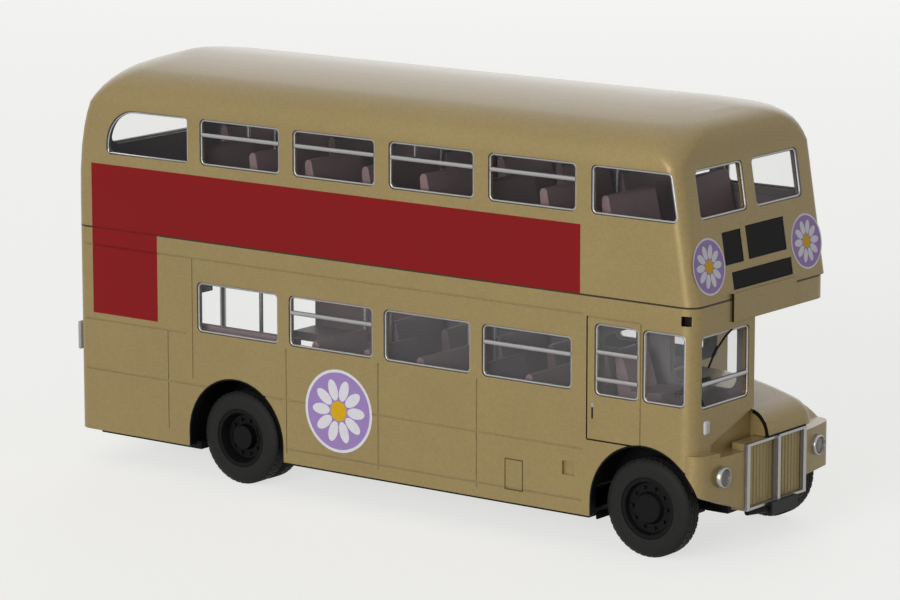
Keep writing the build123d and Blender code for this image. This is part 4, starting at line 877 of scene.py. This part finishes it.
# Columns: name, finish, slot, boxes
FILMS = [("door_handle", "black", "black", [(30.75, 30.98, 15.2, 16.5)]),
         ("door_handle_cap", "silver", "silver", [(30.72, 31.02, 16.55, 17.0)]),
         ("side_flap_shadow_lines", "line", None, FLAP)]


class BUS_OT_front(bpy.types.Operator):
    """Fit the small pieces of the front, the cab and the tail"""

    bl_idname = "bus.front"
    bl_label = "Front, cab and tail fittings"

    def execute(self, context):
        show("arch_lips", arch_lips(), "body")
        show("grille_ribs", grille_face(), "body", ["radiator_grille"])
        show("headlamp_rings", lamp_rings(), "body", ["headlamp_rims"])
        # Painted shade: a black strip in the gap along the bonnet
        show("bonnet_gap_shade", bonnet_gap_shade(), "body")
        low, high = (Vector(corner) * MM for corner in SIDE_LAMP)
        show("side_lamp", rounded_block("side_lamp", low, high, 0.28 * MM, "milk"), "body")
        low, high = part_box("rear_lamp_box")
        show("tail_lamp_box", rounded_block("tail_lamp_box", low, high, 0.18 * MM, "pale"), "body",
             ["rear_lamp_box"])
        bars("wiper", WIPER, 0.24 * MM, "black")
        # Painted shade in the gap above the grille
        bars("grille_gap_shade", GRILLE_GAP_SHADE, 0.24 * MM, "black")
        bars("front_bumper", [BUMPER], 0.7 * MM, "black")
        for name, finish, slot, boxes in FILMS:
            show(name, films(name, finish, boxes), "body")
        return {"FINISHED"}


# Grab poles. Columns: x of each pair, foot, head
POLES = [((-26.6, -10.4, 5.2), 8.4, 28.4), ((22.7, -2.8, -28.3), 30.1, 49.4)]
POLE_Y = 2.55
# Rails over the seat backs. Columns: first x, step, count, height
RAILS = [(31.2, 8.5, 9, 39.9), (20.8, 7.8, 5, 18.2)]
RAIL_IN, RAIL_OUT = 2.95, 12.15
# The stairs take the place of this upper seat on the offside
STAIR_SEAT = 8
# Strips on the platform floor: those past the rounded corner of the platform start further ahead
PLATFORM_Z, STRIP_FRONT, STRIP_BACK, STRIP_CORNER = 5.7, -30.0, -45.3, -44.2
STRIP_Y, STRIP_STEP, STRIP_COUNT, FULL_STRIPS = 3.4, 0.75, 13, 10
# Edges of the stairs
STEP_BACK, STEP_FRONT, STEP_Y, STEP_GOING, STEP_RISE, STEP_COUNT = -45.2, -40.0, 2.5, 2.3, 2.44, 4


class BUS_OT_inside(bpy.types.Operator):
    """Fit the poles, the seat rails, the platform strips and the step edges"""

    bl_idname = "bus.inside"
    bl_label = "Inside fittings"

    def execute(self, context):
        poles = [[(x, side * POLE_Y, foot), (x, side * POLE_Y, head)]
                 for places, foot, head in POLES for x in places for side in (-1, 1)]
        bars("grab_poles", poles, 0.5 * MM, "silver")
        rails = []
        for first, step, count, height in RAILS:
            for n in range(count):
                for side in ((1,) if n == STAIR_SEAT else (-1, 1)):
                    x = first - step * n
                    rails.append([(x, side * RAIL_IN, height), (x, side * RAIL_OUT, height)])
        bars("seat_rails", rails, 0.98 * MM, "interior")
        strips = []
        for n in range(STRIP_COUNT):
            y = STRIP_Y + STRIP_STEP * n
            strips.append([(STRIP_BACK if n < FULL_STRIPS else STRIP_CORNER, y, PLATFORM_Z),
                           (STRIP_FRONT, y, PLATFORM_Z)])
        for n in range(STEP_COUNT):
            y, height = STEP_Y - STEP_GOING * n, PLATFORM_Z + STEP_RISE * (n + 1)
            strips.append([(STEP_BACK, y, height), (STEP_FRONT, y, height)])
        bars("platform_strips", strips, 0.26 * MM, "steel")
        return {"FINISHED"}


BADGE_INKS = ("lilac", "yellow", "white")
LILAC, YELLOW, WHITE = range(3)
PETALS = 10
# Shares of a badge's radius: ground, heart, middle of a petal, its half length and half width
GROUND, HEART, PETAL_MIDDLE, PETAL_LONG, PETAL_WIDE = 0.93, 0.24, 0.52, 0.26, 0.135
# Heights of the stacked films above the body
RIM_LIFT, GROUND_LIFT, PETAL_LIFT, HEART_LIFT = 0.005, 0.008, 0.011, 0.014


def badge(name, centre, right, up, out, radius):
    """Round printed badge: rim, ground, ring of petals and a heart, as thin stacked films."""
    work = bmesh.new()

    def film(points, lift, ink):
        face = work.faces.new([work.verts.new((centre + right * a + up * b + out * lift) * MM) for a, b in points])
        face.material_index = ink
        face.normal_update()
        if face.normal.dot(out) < 0:
            face.normal_flip()

    def circle(r, count=48):
        return [(r * math.cos(2 * math.pi * n / count), r * math.sin(2 * math.pi * n / count)) for n in range(count)]

    film(circle(radius), RIM_LIFT, WHITE)
    film(circle(radius * GROUND), GROUND_LIFT, LILAC)
    for n in range(PETALS):
        a = 2 * math.pi * n / PETALS
        outline = []
        for u, v in circle(1.0, 14):
            along, wide = radius * (PETAL_MIDDLE + PETAL_LONG * u), radius * PETAL_WIDE * v
            outline.append((along * math.cos(a) - wide * math.sin(a), along * math.sin(a) + wide * math.cos(a)))
        film(outline, PETAL_LIFT, WHITE)
    film(circle(radius * HEART, 28), HEART_LIFT, YELLOW)
    return mesh_of(work, name, *BADGE_INKS)


# Middles of the badges
SIDE_BADGE_X, SIDE_BADGE_Y, SIDE_BADGE_Z = -5.5, 14.0, 11.2
FRONT_BADGE_Y, FRONT_BADGE_Z = 10.1, 33.4


class BUS_OT_prints(bpy.types.Operator):
    """Print a round flower badge on each side and two on the front"""

    bl_idname = "bus.prints"
    bl_label = "Printed badges"

    def execute(self, context):
        s = sizes()
        front_up = Vector((-math.sin(FRONT_LEAN), 0, math.cos(FRONT_LEAN)))
        front_out = Vector((math.cos(FRONT_LEAN), 0, math.sin(FRONT_LEAN)))
        for side, name in ((-1, "offside"), (1, "nearside")):
            mesh = badge(name + "_badge", Vector((SIDE_BADGE_X, side * SIDE_BADGE_Y, SIDE_BADGE_Z)),
                         Vector((-side, 0, 0)), Vector((0, 0, 1)), Vector((0, side, 0)), s.badge_radius / MM)
            show(name + "_badge", mesh, "body")
            mesh = badge(name + "_front_badge", upper_front(side * FRONT_BADGE_Y, FRONT_BADGE_Z), Vector((0, 1, 0)),
                         front_up, front_out, s.front_badge_radius / MM)
            show(name + "_front_badge", mesh, "body")
        return {"FINISHED"}


def looked_at(add):
    """1 for the rays by which the camera, gloss and glass look at a surface."""
    ray = add("ShaderNodeLightPath").outputs
    seen = add("ShaderNodeMath", {0: ray["Is Camera Ray"], 1: ray["Is Glossy Ray"]}, operation="MAXIMUM")
    return add("ShaderNodeMath", {0: seen, 1: ray["Is Transmission Ray"]}, operation="MAXIMUM")


# Glow of the paper for the eye alone, and light of the tent at the horizon and overhead
FLOOR_LIFT, TENT_SIDES, TENT_TOP = 0.67, 0.5, 0.16
# Lamps. Columns: name, place in metres, size, watts, mirrored in gloss
LAMPS = [("side_softbox", (0.12, -0.95, 0.22), 0.55, 5.4, True),
         ("nearside_fill", (-0.45, 0.85, 0.35), 0.6, 1.9, False)]
LAMP_AIM = Vector((0, 0, 0.02))
# Camera in millimetres
CAMERA_PLACE, CAMERA_AIM = Vector((292.3, -389.4, 117.4)), Vector((0.4, 0.0, 23.06))
LENS, SENSOR = 166.6, 36.0


def paper_floor():
    """Matt paper: even, faintly fibrous, white to what looks at it, and it still keeps the shadow of the bus."""
    made, add, place = start("matt_paper_floor")
    fibre = add("ShaderNodeTexNoise", {"Vector": place, "Scale": 1 / (1.5 * MM), "Detail": 2.0})
    lift = add("ShaderNodeMath", {0: looked_at(add), 1: FLOOR_LIFT}, operation="MULTIPLY")
    shader = add("ShaderNodeBsdfPrincipled", {"Base Color": mottled(add, paint().floor, fibre, 0.99, 1.01),
                                              "Roughness": 0.95, "Specular IOR Level": 0.1,
                                              "Emission Color": (1.0, 1.0, 0.985, 1.0),
                                              "Emission Strength": lift})
    add("ShaderNodeOutputMaterial", {"Surface": shader})
    return made


def white_tent():
    """White world that is brighter round the sides than overhead, and plain white to what looks at it."""
    world = bpy.data.worlds.new("white_tent")
    world.use_nodes = True
    world.node_tree.nodes.clear()
    add = partial(put, world.node_tree)
    height = add("ShaderNodeSeparateXYZ", {"Vector": add("ShaderNodeTexCoord").outputs["Generated"]})
    shed = add("ShaderNodeMapRange", {"Value": height.outputs["Z"], "To Min": TENT_SIDES, "To Max": TENT_TOP})
    strength = add("ShaderNodeMapRange", {"Value": looked_at(add), "To Min": shed, "To Max": 1.0})
    glow = add("ShaderNodeBackground", {"Color": (1.0, 1.0, 1.0, 1.0), "Strength": strength})
    add("ShaderNodeOutputWorld", {"Surface": glow})
    return world


def stand(scene, name, data, place, aim):
    """Lamp or camera at a place, turned to look at a point."""
    made = bpy.data.objects.new(name, data)
    made.location = place
    made.rotation_euler = (aim - Vector(place)).to_track_quat("-Z", "Y").to_euler()
    scene.collection.objects.link(made)
    return made


class BUS_OT_stage(bpy.types.Operator):
    """Set the pale floor, the soft lights and the camera"""

    bl_idname = "bus.stage"
    bl_label = "Stage"

    def execute(self, context):
        scene = context.scene
        work = bmesh.new()
        bmesh.ops.create_grid(work, x_segments=1, y_segments=1, size=4.0)
        mesh = mesh_of(work, "studio_floor")
        mesh.materials.append(paper_floor())
        floor = bpy.data.objects.new("studio_floor", mesh)
        scene.collection.objects.link(floor)
        scene.world = white_tent()
        for name, place, size, watts, mirrored in LAMPS:
            lamp = bpy.data.lights.new(name, "AREA")
            lamp.size = size
            lamp.energy = watts
            stand(scene, name, lamp, place, LAMP_AIM).visible_glossy = mirrored
        lens = bpy.data.cameras.new("photo_camera")
        lens.lens = LENS
        lens.sensor_width = SENSOR
        lens.clip_start = 0.01
        lens.clip_end = 50.0
        scene.camera = stand(scene, "photo_camera", lens, CAMERA_PLACE * MM, CAMERA_AIM * MM)
        scene.view_settings.view_transform = "Standard"
        return {"FINISHED"}


steps = (BUS_OT_body, BUS_OT_windows, BUS_OT_wheels, BUS_OT_front, BUS_OT_inside, BUS_OT_prints, BUS_OT_stage)


class BUS_PT_panel(bpy.types.Panel):
    """Steps and values of the model bus"""

    bl_idname = "BUS_PT_panel"
    bl_label = "Model bus"
    bl_space_type = "VIEW_3D"
    bl_region_type = "UI"
    bl_category = "Bus"

    def draw(self, context):
        for step in steps:
            self.layout.operator(step.bl_idname)
        for group in (context.scene.bus_paint, context.scene.bus_sizes):
            column = self.layout.column(align=True)
            for name in group.bl_rna.properties.keys():
                if name not in ("rna_type", "name"):
                    column.prop(group, name)


classes = (BusPaint, BusSizes, *steps, BUS_PT_panel)


def register():
    for kind in classes:
        bpy.utils.register_class(kind)
    bpy.types.Scene.bus_paint = bpy.props.PointerProperty(type=BusPaint)
    bpy.types.Scene.bus_sizes = bpy.props.PointerProperty(type=BusSizes)


def unregister():
    del bpy.types.Scene.bus_sizes
    del bpy.types.Scene.bus_paint
    for kind in reversed(classes):
        bpy.utils.unregister_class(kind)


def main():
    register()
    for step in ("body", "windows", "wheels", "front", "inside", "prints", "stage"):
        getattr(bpy.ops.bus, step)()


if __name__ == "__main__":
    main()
